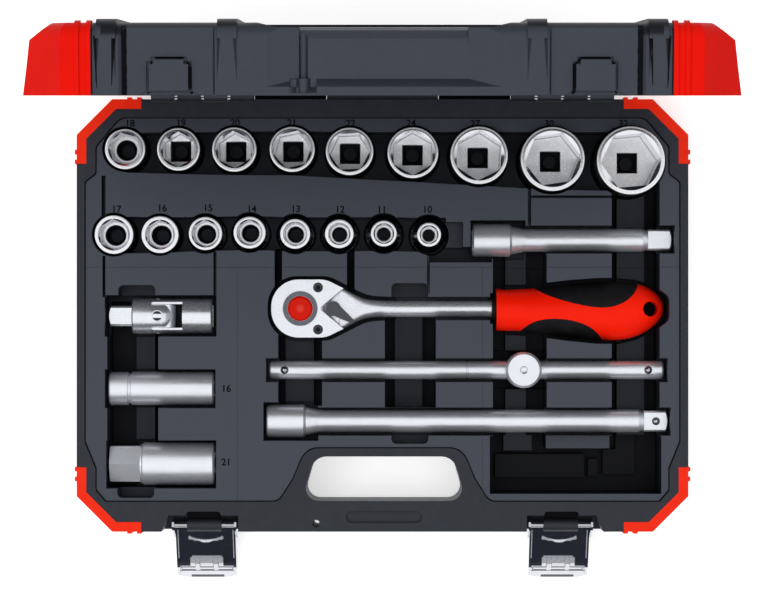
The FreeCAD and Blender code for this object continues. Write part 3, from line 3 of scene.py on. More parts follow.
import bmesh
import bpy
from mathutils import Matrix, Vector


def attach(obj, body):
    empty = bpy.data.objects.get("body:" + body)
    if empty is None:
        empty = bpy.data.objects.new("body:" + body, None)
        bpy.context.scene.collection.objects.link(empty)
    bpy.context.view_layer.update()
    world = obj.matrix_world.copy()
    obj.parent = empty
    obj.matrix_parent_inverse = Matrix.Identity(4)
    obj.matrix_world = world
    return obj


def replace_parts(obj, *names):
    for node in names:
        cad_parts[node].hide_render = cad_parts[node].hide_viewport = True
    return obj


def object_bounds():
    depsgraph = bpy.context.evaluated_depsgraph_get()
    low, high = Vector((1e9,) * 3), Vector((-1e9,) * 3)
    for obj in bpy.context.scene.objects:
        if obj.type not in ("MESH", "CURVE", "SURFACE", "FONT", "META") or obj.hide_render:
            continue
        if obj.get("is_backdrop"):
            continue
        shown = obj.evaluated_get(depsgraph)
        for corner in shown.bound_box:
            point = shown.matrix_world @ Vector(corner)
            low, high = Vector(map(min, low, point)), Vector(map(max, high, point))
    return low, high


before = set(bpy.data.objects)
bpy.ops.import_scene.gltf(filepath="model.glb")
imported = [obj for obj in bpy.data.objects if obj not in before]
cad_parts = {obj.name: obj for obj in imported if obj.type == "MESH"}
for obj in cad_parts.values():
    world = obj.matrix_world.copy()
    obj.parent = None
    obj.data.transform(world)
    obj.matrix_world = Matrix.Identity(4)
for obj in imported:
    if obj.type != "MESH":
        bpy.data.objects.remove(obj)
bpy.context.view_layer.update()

bl_info = {
    "name": "Socket organizer drawer box",
    "version": (1, 0, 0),
    "blender": (4, 5, 0),
    "location": "3D View > Sidebar > Socket Box",
    "description": "Dresses the hinged socket case, its tray and its tools",
    "category": "Object",
}

MM = 0.001
SOCKET_SIZES = (10, 11, 12, 13, 14, 15, 16, 17, 18, 19, 20, 21, 22, 24, 27, 30, 32)
SPARK_SIZES = (16, 21)
# size: (x, y, outside diameter, length) of the standing sockets in millimetres, and the hexagon's turn
SOCKETS = {
    18: (-159.8, 103.3, 25.0, 38.0, 15), 19: (-126.6, 103.1, 26.5, 39.0, 0),
    20: (-91.9, 102.9, 27.5, 40.0, 3), 21: (-56.0, 103.0, 28.0, 40.0, 42),
    22: (-20.4, 101.7, 29.5, 41.0, 33), 24: (18.8, 100.7, 31.5, 43.0, 0),
    27: (59.7, 98.9, 35.5, 46.0, -3), 30: (105.0, 96.5, 39.5, 48.0, 38),
    32: (153.1, 95.5, 42.0, 50.0, 35),
    17: (-166.7, 50.2, 24.0, 38.0, 5), 16: (-138.1, 50.2, 23.0, 38.0, 3),
    15: (-109.9, 50.9, 20.7, 38.0, 5), 14: (-82.5, 51.5, 19.9, 38.0, 2),
    13: (-54.2, 50.7, 18.6, 38.0, 0), 12: (-26.8, 50.7, 17.8, 38.0, 0),
    11: (0.8, 50.9, 16.1, 38.0, 0), 10: (28.9, 50.2, 14.9, 38.0, 0),
}
SEAT = 7.3              # underside of the standing sockets
OPEN_WEB = 19           # from this size up a square web shows at the bottom of the hexagon
SLIM = 22               # a socket slimmer than this stands on a wider foot
FOOT = 11.12            # radius of that foot
# (text, x, y) of the size numbers on the tray
NUMBERS = (("18", -156.6, 119.0), ("19", -124.9, 119.3), ("20", -91.4, 119.3), ("21", -56.2, 119.3),
           ("22", -19.8, 119.1), ("24", 17.8, 119.1), ("27", 57.4, 118.9), ("30", 103.4, 118.9),
           ("32", 149.4, 118.9), ("17", -165.0, 65.8), ("16", -136.7, 66.5), ("15", -108.2, 66.5),
           ("14", -81.1, 65.9), ("13", -53.8, 65.9), ("12", -26.4, 65.6), ("11", -0.4, 65.4),
           ("10", 27.8, 65.6), ("16", -96.9, -45.5), ("21", -96.9, -91.1))
DIGIT_SHARE = 0.72      # height of a digit as a share of the font's size
TRAY_TOP = 46.3
SUNK = 0.02             # how far a number's foot is let into the tray
LATCH_X = 111           # middle of a latch, to both sides of the case's middle
# (points, first and last width) of the painted shade strips along the sunk lines and slanted panel sides
# in the lid's front wall, on its right-hand side
LID_LINES = (
    (((123.1, 111.9), (121.6, 113.6), (121.6, 127.7), (119.7, 129.1), (118.2, 131.2), (103.3, 131.2),
      (101.9, 129.1), (99.9, 127.7)), (0.9, 1.0)),
    (((99.9, 127.9), (99.9, 113.6), (97.5, 112.2)), (1.5, 1.5)),
    (((124.7, 112.1), (95.2, 112.1)), (0.9, 0.9)),
    (((134.3, 111.8), (134.3, 147.5)), (2.6, 2.6)),
    (((150.9, 111.8), (150.9, 146.0)), (0.5, 0.5)),
    (((149.2, 142.0), (148.4, 115.2)), (1.7, 0.3)),
    (((139.4, 141.8), (140.7, 116.4)), (1.9, 0.3)),
)
JOINT = (-140.1, -0.2, 32.0)    # crossing of the universal joint's pins
YOKE = 11.02                    # radius of the joint's two turned ends
PRONG_HALF, PRONG_END, PRONG_BALL = 6.7, 8.2, 11.3  # half width, round end and outer ball of a prong
PRONG_ARC = 54.8                # half the arc of the round end, in degrees
PRONG_FACES = (7.4, 12.0)       # inner and outer height of a prong over the axis
PRONG_BASE = 10.98              # a prong's radius where it leaves its yoke
THROAT = 11.7                   # hollow of the driver's yoke
CROSS_HALF = 7.2
DRIVE_HALF = 6.35               # half of the half-inch square
SMOOTH, COARSE = 96, 48         # steps round a shape of one turn
BUTTON = (-51.2, 4.4)           # axis of the ratchet's head
COVER_TOP = 41.5
SCREWS = ((-40.1, -8.7), (-40.1, 17.5))
# (x, half width, underside, top, squareness) down the ratchet's neck and shank
NECK = ((-26.8, 13.8, 22.05, 38.45, 16), (-24.0, 12.4, 22.4, 38.2, 12), (-20.0, 10.4, 23.0, 37.8, 7),
        (-16.0, 8.4, 23.8, 37.3, 4.6), (-13.0, 7.1, 24.4, 36.9, 3.6), (-10.0, 6.2, 24.9, 36.6, 3.0),
        (-6.0, 5.7, 25.4, 36.35, 2.5), (-1.0, 5.35, 25.75, 36.2, 2.15), (5.0, 5.2, 25.8, 36.2, 2.0),
        (87.0, 5.2, 25.8, 36.2, 2.0))
# edge of the cover's notch, and of the lever's well
SEAM = ((-23.9, 17.0), (-29.6, 12.3), (-36.2, 6.9), (-37.8, 5.5), (-38.3, 4.4), (-37.8, 3.3),
        (-36.2, 1.9), (-29.6, -3.5), (-23.9, -8.2))
TRAY_PARTS = ("tool_tray", "tool_tray_left", "tool_tray_middle", "tool_tray_right")
PAINTED_SHADE = "0B0A0D"         # sRGB hex value of the near-black painted shade in the tray's pockets, past the lid's roof edge, and on the case's dark lines, sills and pocket floors
EDGE = 0.5              # radius that every moulded edge is shaded with
SHARP = 32.0            # degrees past which an edge is shaded sharp
DRAPE_STEP = 1.5        # length of one step of a strip that lies on a surface
LEDGE = 3.0             # a strip breaks off at a step higher than this
CAMERA_AT = (0.00093, -0.0183)  # in metres
ALL_WAYS = (1.0, 1.0, 1.0)      # a lay without direction
ALONG_X = (0.05, 1.0, 1.0)      # a lay drawn out along x


# ------------------------------------------------------------------ helpers
def to_linear(code):
    """The linear colour of an sRGB hex value."""
    channels = [int(code[i:i + 2], 16) / 255 for i in (0, 2, 4)]
    return tuple(c / 12.92 if c <= 0.04045 else ((c + 0.055) / 1.055) ** 2.4 for c in channels) + (1.0,)


def add(tree, kind, inputs=None, **settings):
    """Adds a shader node with its settings, input values and links."""
    node = tree.nodes.new("ShaderNode" + kind)
    for name, value in settings.items():
        setattr(node, name, value)
    for key, value in (inputs or {}).items():
        if isinstance(value, bpy.types.NodeSocket):
            tree.links.new(value, node.inputs[key])
        else:
            node.inputs[key].default_value = value
    return node


def new_material(name, **constants):
    """A material with a bare Principled shader that has the given constants."""
    material = bpy.data.materials.new(name)
    material.use_nodes = True
    tree = material.node_tree
    shader = tree.nodes["Principled BSDF"]
    for key, value in constants.items():
        shader.inputs[key.replace("_", " ")].default_value = value
    place = add(tree, "TexCoord").outputs["Object"]
    return material, tree, shader, place


def per_metre(size_mm):
    """The texture scale at which one cell of a pattern is size_mm wide."""
    return 1 / (size_mm * MM)


def to_the_eye(tree):
    """One for the rays that reach the eye straight, off a mirror or through glass, otherwise zero."""
    path = add(tree, "LightPath")
    seen = add(tree, "Math", {0: path.outputs["Is Camera Ray"], 1: path.outputs["Is Glossy Ray"]},
               operation="MAXIMUM")
    seen = add(tree, "Math", {0: seen.outputs["Value"], 1: path.outputs["Is Transmission Ray"]},
               operation="MAXIMUM")
    return seen.outputs["Value"]


# ---------------------------------------------------------------- materials
def moulded_plastic(name, colour, worn, grain_mm, roughness, sheen=0.5, depth=None, shaded=None):
    """Injection-moulded polypropylene from a spark-eroded mould: a fine even grain breaks the gloss,
    and slow differences in the flow of the plastic shift its tone a little. Where depth gives two
    heights in metres, shade is painted: the faces below the first are painted darker and lose their
    shine, standing for the shade in deep pockets. Where shaded gives two places along y, shade is
    painted past the second, standing for the shade on a roof edge, and on the two humps of the
    lid's straps it starts a little sooner."""
    # painted light: the bluish tint of the shine stands for a bluish overhead light
    material, tree, shader, place = new_material(name, Specular_IOR_Level=sheen,
                                                 Specular_Tint=(0.84, 0.91, 1.0, 1.0))
    flow = add(tree, "TexNoise", {"Vector": place, "Scale": per_metre(46), "Detail": 3.0})
    rubbed = add(tree, "TexNoise", {"Vector": place, "Scale": per_metre(5.5), "Detail": 4.0,
                                    "Roughness": 0.65})
    patches = add(tree, "MapRange", {"Value": rubbed.outputs["Fac"], "From Min": 0.42, "From Max": 0.78,
                                     "To Max": 0.55})
    tone = add(tree, "MixRGB", {"Fac": patches.outputs["Result"], "Color1": to_linear(colour),
                                "Color2": to_linear(worn)})
    even = add(tree, "MapRange", {"Value": flow.outputs["Fac"], "To Min": 0.90, "To Max": 1.10})
    shade = add(tree, "HueSaturation", {"Color": tone.outputs["Color"], "Value": even.outputs["Result"]})
    # painted shade: faces below the first height darken towards near black and lose their shine,
    # standing for the shade in deep pockets
    if depth:
        height = add(tree, "SeparateXYZ", {"Vector": place})
        raised = add(tree, "MapRange", {"Value": height.outputs["Z"], "From Min": depth[0],
                                        "From Max": depth[1]}, interpolation_type="SMOOTHSTEP")
        shade = add(tree, "MixRGB", {"Fac": raised.outputs["Result"], "Color1": to_linear(PAINTED_SHADE),
                                     "Color2": shade.outputs["Color"]})
        shine = add(tree, "MapRange", {"Value": raised.outputs["Result"], "To Min": 0.12,
                                       "To Max": sheen})
        tree.links.new(shine.outputs["Result"], shader.inputs["Specular IOR Level"])
    # painted shade: past the second place along y, and a little sooner on the two humps, the plastic
    # darkens towards near black and loses its shine, standing for the shade on the lid's roof edge
    if shaded:
        across = add(tree, "SeparateXYZ", {"Vector": place})
        aside = add(tree, "Math", {0: across.outputs["X"]}, operation="ABSOLUTE")
        hump = add(tree, "Math", {0: aside.outputs["Value"], 1: 0.1395, 2: 0.0066}, operation="COMPARE")
        reach = add(tree, "Math", {0: hump.outputs["Value"], 1: 0.0045, 2: across.outputs["Y"]},
                    operation="MULTIPLY_ADD")
        past = add(tree, "MapRange", {"Value": reach.outputs["Value"], "From Min": shaded[0],
                                      "From Max": shaded[1], "To Max": 0.85})
        shade = add(tree, "MixRGB", {"Fac": past.outputs["Result"], "Color1": shade.outputs["Color"],
                                     "Color2": to_linear(PAINTED_SHADE)})
        shine = add(tree, "MapRange", {"Value": past.outputs["Result"], "To Min": sheen, "To Max": 0.15})
        tree.links.new(shine.outputs["Result"], shader.inputs["Specular IOR Level"])
    # the grain is about 0.1 mm on the real case, and is drawn coarser so that it shows
    grain = add(tree, "TexNoise", {"Vector": place, "Scale": per_metre(grain_mm), "Detail": 2.0})
    corner = add(tree, "Bevel", {"Radius": EDGE * MM}, samples=4)
    bump = add(tree, "Bump", {"Height": grain.outputs["Fac"], "Strength": 0.2,
                              "Distance": 0.1 * MM, "Normal": corner.outputs["Normal"]})
    gloss = add(tree, "MapRange", {"Value": rubbed.outputs["Fac"], "To Min": roughness - 0.07,
                                   "To Max": roughness + 0.09})
    tree.links.new(shade.outputs["Color"], shader.inputs["Base Color"])
    tree.links.new(gloss.outputs["Result"], shader.inputs["Roughness"])
    tree.links.new(bump.outputs["Normal"], shader.inputs["Normal"])
    return material


def chrome_plate(name, colour, roughness, lay_mm, direction, metallic=1.0):
    """Chromium over nickel on forged steel: bright and nearly neutral, with the faint lay of the
    polishing belt, which spreads each highlight a little along one direction. A blasted or ground
    face scatters some of its light, which metallic below one stands for."""
    material, tree, shader, place = new_material(name, Metallic=metallic)
    stretch = add(tree, "Mapping", {"Vector": place, "Scale": direction})
    lay = add(tree, "TexNoise", {"Vector": stretch.outputs["Vector"], "Scale": per_metre(lay_mm),
                                 "Detail": 3.0, "Roughness": 0.6})
    cloud = add(tree, "TexNoise", {"Vector": place, "Scale": per_metre(9), "Detail": 2.0})
    tone = add(tree, "MapRange", {"Value": cloud.outputs["Fac"], "To Min": 0.94, "To Max": 1.03})
    shade = add(tree, "HueSaturation", {"Color": to_linear(colour), "Value": tone.outputs["Result"]})
    gloss = add(tree, "MapRange", {"Value": lay.outputs["Fac"], "From Min": 0.3, "From Max": 0.7,
                                   "To Min": roughness * 0.8, "To Max": roughness * 1.35})
    bump = add(tree, "Bump", {"Height": lay.outputs["Fac"], "Strength": 0.06, "Distance": 0.02 * MM})
    tree.links.new(shade.outputs["Color"], shader.inputs["Base Color"])
    tree.links.new(gloss.outputs["Result"], shader.inputs["Roughness"])
    tree.links.new(bump.outputs["Normal"], shader.inputs["Normal"])
    return material


def handle_plastic(name, colour, deep, roughness, rubbed=None):
    """Glossy moulded plastic: saturated right through, with a soft warm sheen that dips where hands
    have rubbed it. Round the axis at rubbed, a place in x and y, a paler centre in the second colour
    is painted on as a painted reflection of the light."""
    material, tree, shader, place = new_material(name, Specular_IOR_Level=0.3,
                                                 Specular_Tint=(1.0, 0.42, 0.26, 1.0))
    cloud = add(tree, "TexNoise", {"Vector": place, "Scale": per_metre(14), "Detail": 3.0})
    share = cloud.outputs["Fac"]
    # painted reflection: round the given axis the colour pales towards the second colour
    if rubbed:
        centre = (rubbed[0] * MM, rubbed[1] * MM, 42.0 * MM)
        away = add(tree, "VectorMath", {0: place, 1: centre}, operation="DISTANCE")
        painted_reflection = add(tree, "MapRange", {"Value": away.outputs["Value"], "From Min": 1.2 * MM,
                                       "From Max": 3.2 * MM, "To Min": 0.8, "To Max": 0.0})
        share = painted_reflection.outputs["Result"]
    tone = add(tree, "MixRGB", {"Fac": share, "Color1": to_linear(colour), "Color2": to_linear(deep)})
    gloss = add(tree, "MapRange", {"Value": cloud.outputs["Fac"], "To Min": roughness - 0.06,
                                   "To Max": roughness + 0.1})
    skin = add(tree, "TexNoise", {"Vector": place, "Scale": per_metre(0.8), "Detail": 2.0})
    bump = add(tree, "Bump", {"Height": skin.outputs["Fac"], "Strength": 0.08, "Distance": 0.05 * MM})
    tree.links.new(tone.outputs["Color"], shader.inputs["Base Color"])
    tree.links.new(gloss.outputs["Result"], shader.inputs["Roughness"])
    tree.links.new(bump.outputs["Normal"], shader.inputs["Normal"])
    return material


def soft_grip(name, colour, dusty):
    """Overmoulded thermoplastic rubber: dull and dark, with a pebbled skin that greys where dust
    lies in it."""
    material, tree, shader, place = new_material(name, Specular_IOR_Level=0.22)
    pebble = add(tree, "TexVoronoi", {"Vector": place, "Scale": per_metre(1.1)})
    cloud = add(tree, "TexNoise", {"Vector": place, "Scale": per_metre(7), "Detail": 4.0})
    dust = add(tree, "MapRange", {"Value": cloud.outputs["Fac"], "From Min": 0.45, "From Max": 0.8,
                                  "To Max": 0.7})
    tone = add(tree, "MixRGB", {"Fac": dust.outputs["Result"], "Color1": to_linear(colour),
                                "Color2": to_linear(dusty)})
    gloss = add(tree, "MapRange", {"Value": cloud.outputs["Fac"], "To Min": 0.56, "To Max": 0.74})
    bump = add(tree, "Bump", {"Height": pebble.outputs["Distance"], "Strength": 0.25,
                              "Distance": 0.12 * MM})
    tree.links.new(tone.outputs["Color"], shader.inputs["Base Color"])
    tree.links.new(gloss.outputs["Result"], shader.inputs["Roughness"])
    tree.links.new(bump.outputs["Normal"], shader.inputs["Normal"])
    return material


def light_floor(name, colour):
    """A seamless matt studio sweep: plain white to the eye, with only the soft shadow on it."""
    material, tree, shader, place = new_material(name, Roughness=0.9)
    fibre = add(tree, "TexNoise", {"Vector": place, "Scale": per_metre(3), "Detail": 3.0})
    tone = add(tree, "MapRange", {"Value": fibre.outputs["Fac"], "To Min": 0.985, "To Max": 1.0})
    shade = add(tree, "HueSaturation", {"Color": to_linear(colour), "Value": tone.outputs["Result"]})
    tree.links.new(shade.outputs["Color"], shader.inputs["Base Color"])
    glow = add(tree, "Math", {0: to_the_eye(tree), 1: 0.5}, operation="MULTIPLY")
    shader.inputs["Emission Color"].default_value = (1.0, 1.0, 1.0, 1.0)
    tree.links.new(glow.outputs["Value"], shader.inputs["Emission Strength"])
    return material


# ------------------------------------------------------------- mesh helpers
def wear(node, material):
    """Gives a CAD node its finish, in its own slots."""
    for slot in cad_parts[node].material_slots:
        slot.material = material


def as_mesh(name, shape):
    """The mesh of a bmesh, which is freed."""
    mesh = bpy.data.meshes.new(name)
    shape.to_mesh(mesh)
    shape.free()
    return mesh


def raised_number(name, text, x, y, size_mm, material):
    """A plain size number that stands slightly proud of the tray."""
    curve = bpy.data.curves.new(name, "FONT")
    curve.body = text
    curve.size = size_mm * MM
    curve.align_x = "CENTER"
    curve.align_y = "CENTER"
    curve.extrude = 0.12 * MM
    curve.offset = 0.018 * size_mm * MM
    letters = bpy.data.objects.new(name, curve)
    bpy.context.collection.objects.link(letters)
    bpy.context.view_layer.update()
    mesh = bpy.data.meshes.new_from_object(letters.evaluated_get(bpy.context.evaluated_depsgraph_get()))
    bpy.data.objects.remove(letters)
    for vertex in mesh.vertices:
        vertex.co += Vector((x, y, TRAY_TOP - SUNK)) * MM
    mesh.materials.clear()
    mesh.materials.append(material)
    piece = bpy.data.objects.new(name, mesh)
    bpy.context.collection.objects.link(piece)
    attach(piece, "root")


def placed(name, shape, material, body):
    """A new piece from a bmesh, shaded smooth up to its sharp edges."""
    mesh = as_mesh(name, shape)
    mesh.shade_smooth()
    mesh.set_sharp_from_angle(angle=math.radians(SHARP))
    mesh.materials.append(material)
    piece = bpy.data.objects.new(name, mesh)
    bpy.context.collection.objects.link(piece)
    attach(piece, body)
    return piece


def lathe(shape, profile, origin, axis="Z", turns=72, start=0.0, outline=None):
    """Adds a band turned from (radius, way along the axis) points in millimetres. Where outline is
    given, it stretches the first radius round the turn."""
    rows = []
    for step in range(turns):
        angle = math.radians(start) + 2 * math.pi * step / turns
        c, s = math.cos(angle), math.sin(angle)
        row = []
        for i, (radius, way) in enumerate(profile):
            if outline and i == 0:
                radius = outline(math.degrees(angle))
            spot = {"X": (way, radius * c, radius * s), "Y": (radius * s, way, radius * c),
                    "Z": (radius * c, radius * s, way)}[axis]
            row.append(shape.verts.new([(o + v) * MM for o, v in zip(origin, spot)]))
        rows.append(row)
    for i in range(turns):
        a, b = rows[i], rows[(i + 1) % turns]
        for j in range(len(profile) - 1):
            shape.faces.new((a[j], b[j], b[j + 1], a[j + 1]))


def ribbon(shape, points, width, z):
    """Adds a flat strip along a line of (x, y) points in millimetres, at height z."""
    rows = []
    for i, (x, y) in enumerate(points):
        x0, y0 = points[max(i - 1, 0)]
        x1, y1 = points[min(i + 1, len(points) - 1)]
        along = Vector((x1 - x0, y1 - y0)).normalized() * width / 2
        rows.append([shape.verts.new((px * MM, py * MM, z * MM))
                     for px, py in ((x + along.y, y - along.x), (x - along.y, y + along.x))])
    for a, b in zip(rows, rows[1:]):
        shape.faces.new((a[0], b[0], b[1], a[1]))


def draped(shape, node, points, widths, lift=0.07):
    """Adds a strip that lies on a CAD node as seen from above, along a line of (x, y) points in
    millimetres, from the first width to the second. It hardly rises past the node's top."""
    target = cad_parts[node]
    ceiling = max(corner[2] for corner in target.bound_box) + 0.05 * MM
    steps = []
    for (x0, y0), (x1, y1) in zip(points, points[1:]):
        count = max(1, round(math.hypot(x1 - x0, y1 - y0) / DRAPE_STEP))
        steps += [(x0 + (x1 - x0) * i / count, y0 + (y1 - y0) * i / count) for i in range(count)]
    steps.append(points[-1])
    last = None
    for i, (x, y) in enumerate(steps):
        x0, y0 = steps[max(i - 1, 0)]
        x1, y1 = steps[min(i + 1, len(steps) - 1)]
        width = widths[0] + (widths[1] - widths[0]) * i / (len(steps) - 1)
        along = Vector((x1 - x0, y1 - y0)).normalized() * width / 2
        row = []
        for px, py in ((x + along.y, y - along.x), (x - along.y, y + along.x)):
            hit, place, normal, _ = target.ray_cast((px * MM, py * MM, 0.4), (0, 0, -1))
            if hit:
                place += normal * lift * MM
                place.z = min(place.z, ceiling)
                row.append(shape.verts.new(place))
        if last and len(row) == 2 and abs(row[0].co.z - last[0].co.z) < LEDGE * MM:
            shape.faces.new((last[0], row[0], row[1], last[1]))
        last = row if len(row) == 2 else None


def carved(name, base, cuts, keeps=()):
    """The mesh that is left of a base mesh after cutting some meshes away and keeping to others."""
    piece = bpy.data.objects.new(name, base)
    bpy.context.collection.objects.link(piece)
    tools = []
    for operation, meshes in (("INTERSECT", keeps), ("DIFFERENCE", cuts)):
        for mesh in meshes:
            tool = bpy.data.objects.new(name + "_tool", mesh)
            bpy.context.collection.objects.link(tool)
            tools.append(tool)
            step = piece.modifiers.new("cut", "BOOLEAN")
            step.object = tool
            step.operation = operation
            step.solver = "EXACT"
    bpy.context.view_layer.update()
    made = bpy.data.meshes.new_from_object(piece.evaluated_get(bpy.context.evaluated_depsgraph_get()))
    for tool in tools + [piece]:
        bpy.data.objects.remove(tool)
    shape = bmesh.new()
    shape.from_mesh(made)
    return shape


def solid_turned(profile, centre, axis="X"):
    """The mesh of a bar turned from (radius, way along the axis) points, closed at both ends."""
    shape = bmesh.new()
    ends = [(0.0001, profile[0][1])], [(0.0001, profile[-1][1])]
    lathe(shape, ends[0] + list(profile) + ends[1], centre, axis, SMOOTH)
    bmesh.ops.remove_doubles(shape, verts=shape.verts, dist=0.001 * MM)
    return as_mesh("rod", shape)


def solid_slab(outline, across, upright, centre):
    """The mesh of a slab: an outline in x and y (or z, unless upright) between two heights."""
    shape = bmesh.new()
    rows = []
    for way in across:
        rows.append([shape.verts.new([(c + v) * MM for c, v in
                                      zip(centre, (x, y, way) if upright else (x, way, y))])
                     for x, y in outline])
    shape.faces.new(rows[0])
    shape.faces.new(rows[1])
    for i in range(len(outline)):
        j = (i + 1) % len(outline)
        shape.faces.new((rows[0][i], rows[0][j], rows[1][j], rows[1][i]))
    bmesh.ops.recalc_face_normals(shape, faces=shape.faces)
    return as_mesh("slab", shape)


def solid_box(low, high, centre=(0, 0, 0)):
    """The mesh of a block between two corners, measured from a centre."""
    shape = bmesh.new()
    bmesh.ops.create_cube(shape, size=1.0)
    for vertex in shape.verts:
        vertex.co = [((low[i] if vertex.co[i] < 0 else high[i]) + centre[i]) * MM for i in range(3)]
    return as_mesh("block", shape)


def solid_ball(radius, centre):
    """The mesh of a ball."""
    shape = bmesh.new()
    bmesh.ops.create_uvsphere(shape, u_segments=72, v_segments=48, radius=radius * MM)
    bmesh.ops.translate(shape, verts=shape.verts, vec=Vector(centre) * MM)
    return as_mesh("ball", shape)


# -------------------------------------------------------------- properties
class CaseSettings(bpy.types.PropertyGroup):
    shell_colour: bpy.props.StringProperty(
        name="Shell colour", description="sRGB hex value of the moulded case", default="1D1E24")
    worn_colour: bpy.props.StringProperty(
        name="Rubbed shell colour", description="sRGB hex value where the shell is scuffed",
        default="2B2D36")
    tray_colour: bpy.props.StringProperty(
        name="Tray colour", description="sRGB hex value of the tool tray", default="21242F")
    base_guard_colour: bpy.props.StringProperty(
        name="Base guard colour", description="sRGB hex value of the base's corner guards",
        default="EE2A10")
    lid_guard_colour: bpy.props.StringProperty(
        name="Lid guard colour", description="sRGB hex value of the lid's corner guards",
        default="DD1206")
    lid_colour: bpy.props.StringProperty(
        name="Lid colour", description="sRGB hex value of the moulded lid", default="20232D")
    grain: bpy.props.FloatProperty(
        name="Grain", description="Width of one grain of the mould's texture", default=0.5 * MM,
        min=0.01 * MM, unit="LENGTH", subtype="DISTANCE")
    number_height: bpy.props.FloatProperty(
        name="Number height", description="Height of the size numbers in the tray", default=4.3 * MM,
        unit="LENGTH", subtype="DISTANCE")
    number_colour: bpy.props.StringProperty(
        name="Number colour", description="sRGB hex value of the size numbers", default="08080A")


class ToolSettings(bpy.types.PropertyGroup):
    socket_colour: bpy.props.StringProperty(
        name="Socket colour", description="sRGB hex value of the polished chrome", default="EFF1F6")
    bar_colour: bpy.props.StringProperty(
        name="Bar colour", description="sRGB hex value of the satin chrome", default="EEF1F8")
    handle_colour: bpy.props.StringProperty(
        name="Handle colour", description="sRGB hex value of the ratchet's handle", default="FF1C06")
    button_colour: bpy.props.StringProperty(
        name="Button colour", description="sRGB hex value of the release button", default="D01408")
    grip_colour: bpy.props.StringProperty(
        name="Grip colour", description="sRGB hex value of the soft grip", default="0E0D0F")
    bar_roughness: bpy.props.FloatProperty(
        name="Bar roughness", description="How satin the bars are, from 0 to 1", default=0.34, min=0.0,
        max=1.0, subtype="FACTOR")


class StageSettings(bpy.types.PropertyGroup):
    camera_height: bpy.props.FloatProperty(
        name="Camera height", description="Height of the camera over the floor", default=1.720,
        unit="LENGTH", subtype="DISTANCE")
    lens: bpy.props.FloatProperty(name="Lens", description="Focal length in millimetres", default=126.5)
    floor_size: bpy.props.FloatProperty(
        name="Floor size", description="Side of the square floor", default=6.0, unit="LENGTH",
        subtype="DISTANCE")
    floor_colour: bpy.props.StringProperty(
        name="Floor colour", description="sRGB hex value of the floor", default="F6F6F6")
    card_colour: bpy.props.StringProperty(
        name="Card colour", description="sRGB hex value of the dim cards round the stage",
        default="9C9EA4")
    front_card_colour: bpy.props.StringProperty(
        name="Front card colour", description="sRGB hex value of the dim card in front",
        default="2C2F38")
    key_power: bpy.props.FloatProperty(
        name="Main lamp power", description="Power of the large overhead lamp in watts", default=42.0,
        unit="POWER")


# --------------------------------------------------------------- operators
class DressCase(bpy.types.Operator):
    """Gives both case shells their grain and their painted shade, lays near-black strips of painted
    shade along the lid's sunk lines and panel sides, adds the hinge sills in the same near black, and
    lays thin near-black sheets of painted shade on the floors behind the latches"""
    bl_idname = "socket_box.dress_case"
    bl_label = "Case shells"

    def execute(self, context):
        case = context.scene.socket_box_case
        grain = case.grain / MM
        # a dull, even rim that lets the tray stand out from it
        wear("base_shell", moulded_plastic("blue_grey_polypropylene", case.shell_colour,
                                           case.worn_colour, grain, 0.46, sheen=0.44))
        # the lid's wall is bluer and takes more of the room's light, up to its roof edge, where shade is
        # painted on
        wear("lid_shell", moulded_plastic("blue_grey_lid_polypropylene", case.lid_colour,
                                          case.worn_colour, grain, 0.42, sheen=0.64,
                                          shaded=(0.1462, 0.1482)))
        # painted shade: near black, for the lines and pocket floors where no light gets in, and for the
        # hinge sills
        black = moulded_plastic("painted_shade_polypropylene", PAINTED_SHADE, "141419", grain, 0.6, sheen=0.08)
        lines = bmesh.new()
        for side in (-1, 1):
            for points, widths in LID_LINES:
                draped(lines, "lid_shell", [(-side * x, y) for x, y in points], widths, 0.3)
        placed("lid_painted_shade_lines", lines, black, "lid")
        sills = bmesh.new()
        for side in (-1, 1):
            inner, outer = sorted((side * 35, side * 79.5))
            sills.from_mesh(solid_box((inner, 134.3, 37.0), (outer, 139.2, 41.0)))
            x = side * LATCH_X
            # painted shade: a thin near-black sheet on the floor of the pocket behind each latch
            sills.from_mesh(solid_box((x - 10.6, -127.2, 36.0), (x + 10.6, -122.2, 36.12)))
        placed("base_sills_and_pocket_shade", sills, black, "root")
        return {"FINISHED"}


class DressGuards(bpy.types.Operator):
    """Gives the corner guards their two reds"""
    bl_idname = "socket_box.dress_guards"
    bl_label = "Corner guards"

    def execute(self, context):
        case = context.scene.socket_box_case
        # warm and matt, so that it stays an orange-red under the lamp
        wear("base_corner_guards", moulded_plastic(
            "orange_red_polypropylene", case.base_guard_colour, "F23818", case.grain / MM, 0.46,
            sheen=0.16))
        # a deeper red, with hardly any white haze on the faces that lie at a flat angle
        wear("lid_corner_guards", moulded_plastic(
            "red_polypropylene", case.lid_guard_colour, "DE1808", case.grain / MM, 0.46, sheen=0.06))
        return {"FINISHED"}


class DressTray(bpy.types.Operator):
    """Gives the tool tray its finish"""
    bl_idname = "socket_box.dress_tray"
    bl_label = "Tool tray"

    def execute(self, context):
        case = context.scene.socket_box_case
        # a cool grey on the flats, with painted shade that sinks it to black in the pockets
        plastic = moulded_plastic("blue_grey_tray_polyethylene", case.tray_colour, case.worn_colour,
                                  case.grain / MM, 0.4, sheen=0.82, depth=(0.015, 0.044))
        for node in TRAY_PARTS:
            wear(node, plastic)
        return {"FINISHED"}


class AddNumbers(bpy.types.Operator):
    """Adds the size numbers that stand in the tray beside the tools"""
    bl_idname = "socket_box.add_numbers"
    bl_label = "Size numbers"

    def execute(self, context):
        case = context.scene.socket_box_case
        # dull black, so that a digit reads on the grey
        ink = moulded_plastic("dark_number_polyethylene", case.number_colour, "0C0C0E", 0.4, 0.6,
                              sheen=0.06)
        height = case.number_height / MM / DIGIT_SHARE
        for i, (text, x, y) in enumerate(NUMBERS):
            raised_number("number_%02d_%s" % (i + 1, text), text, x, y, height, ink)
        return {"FINISHED"}


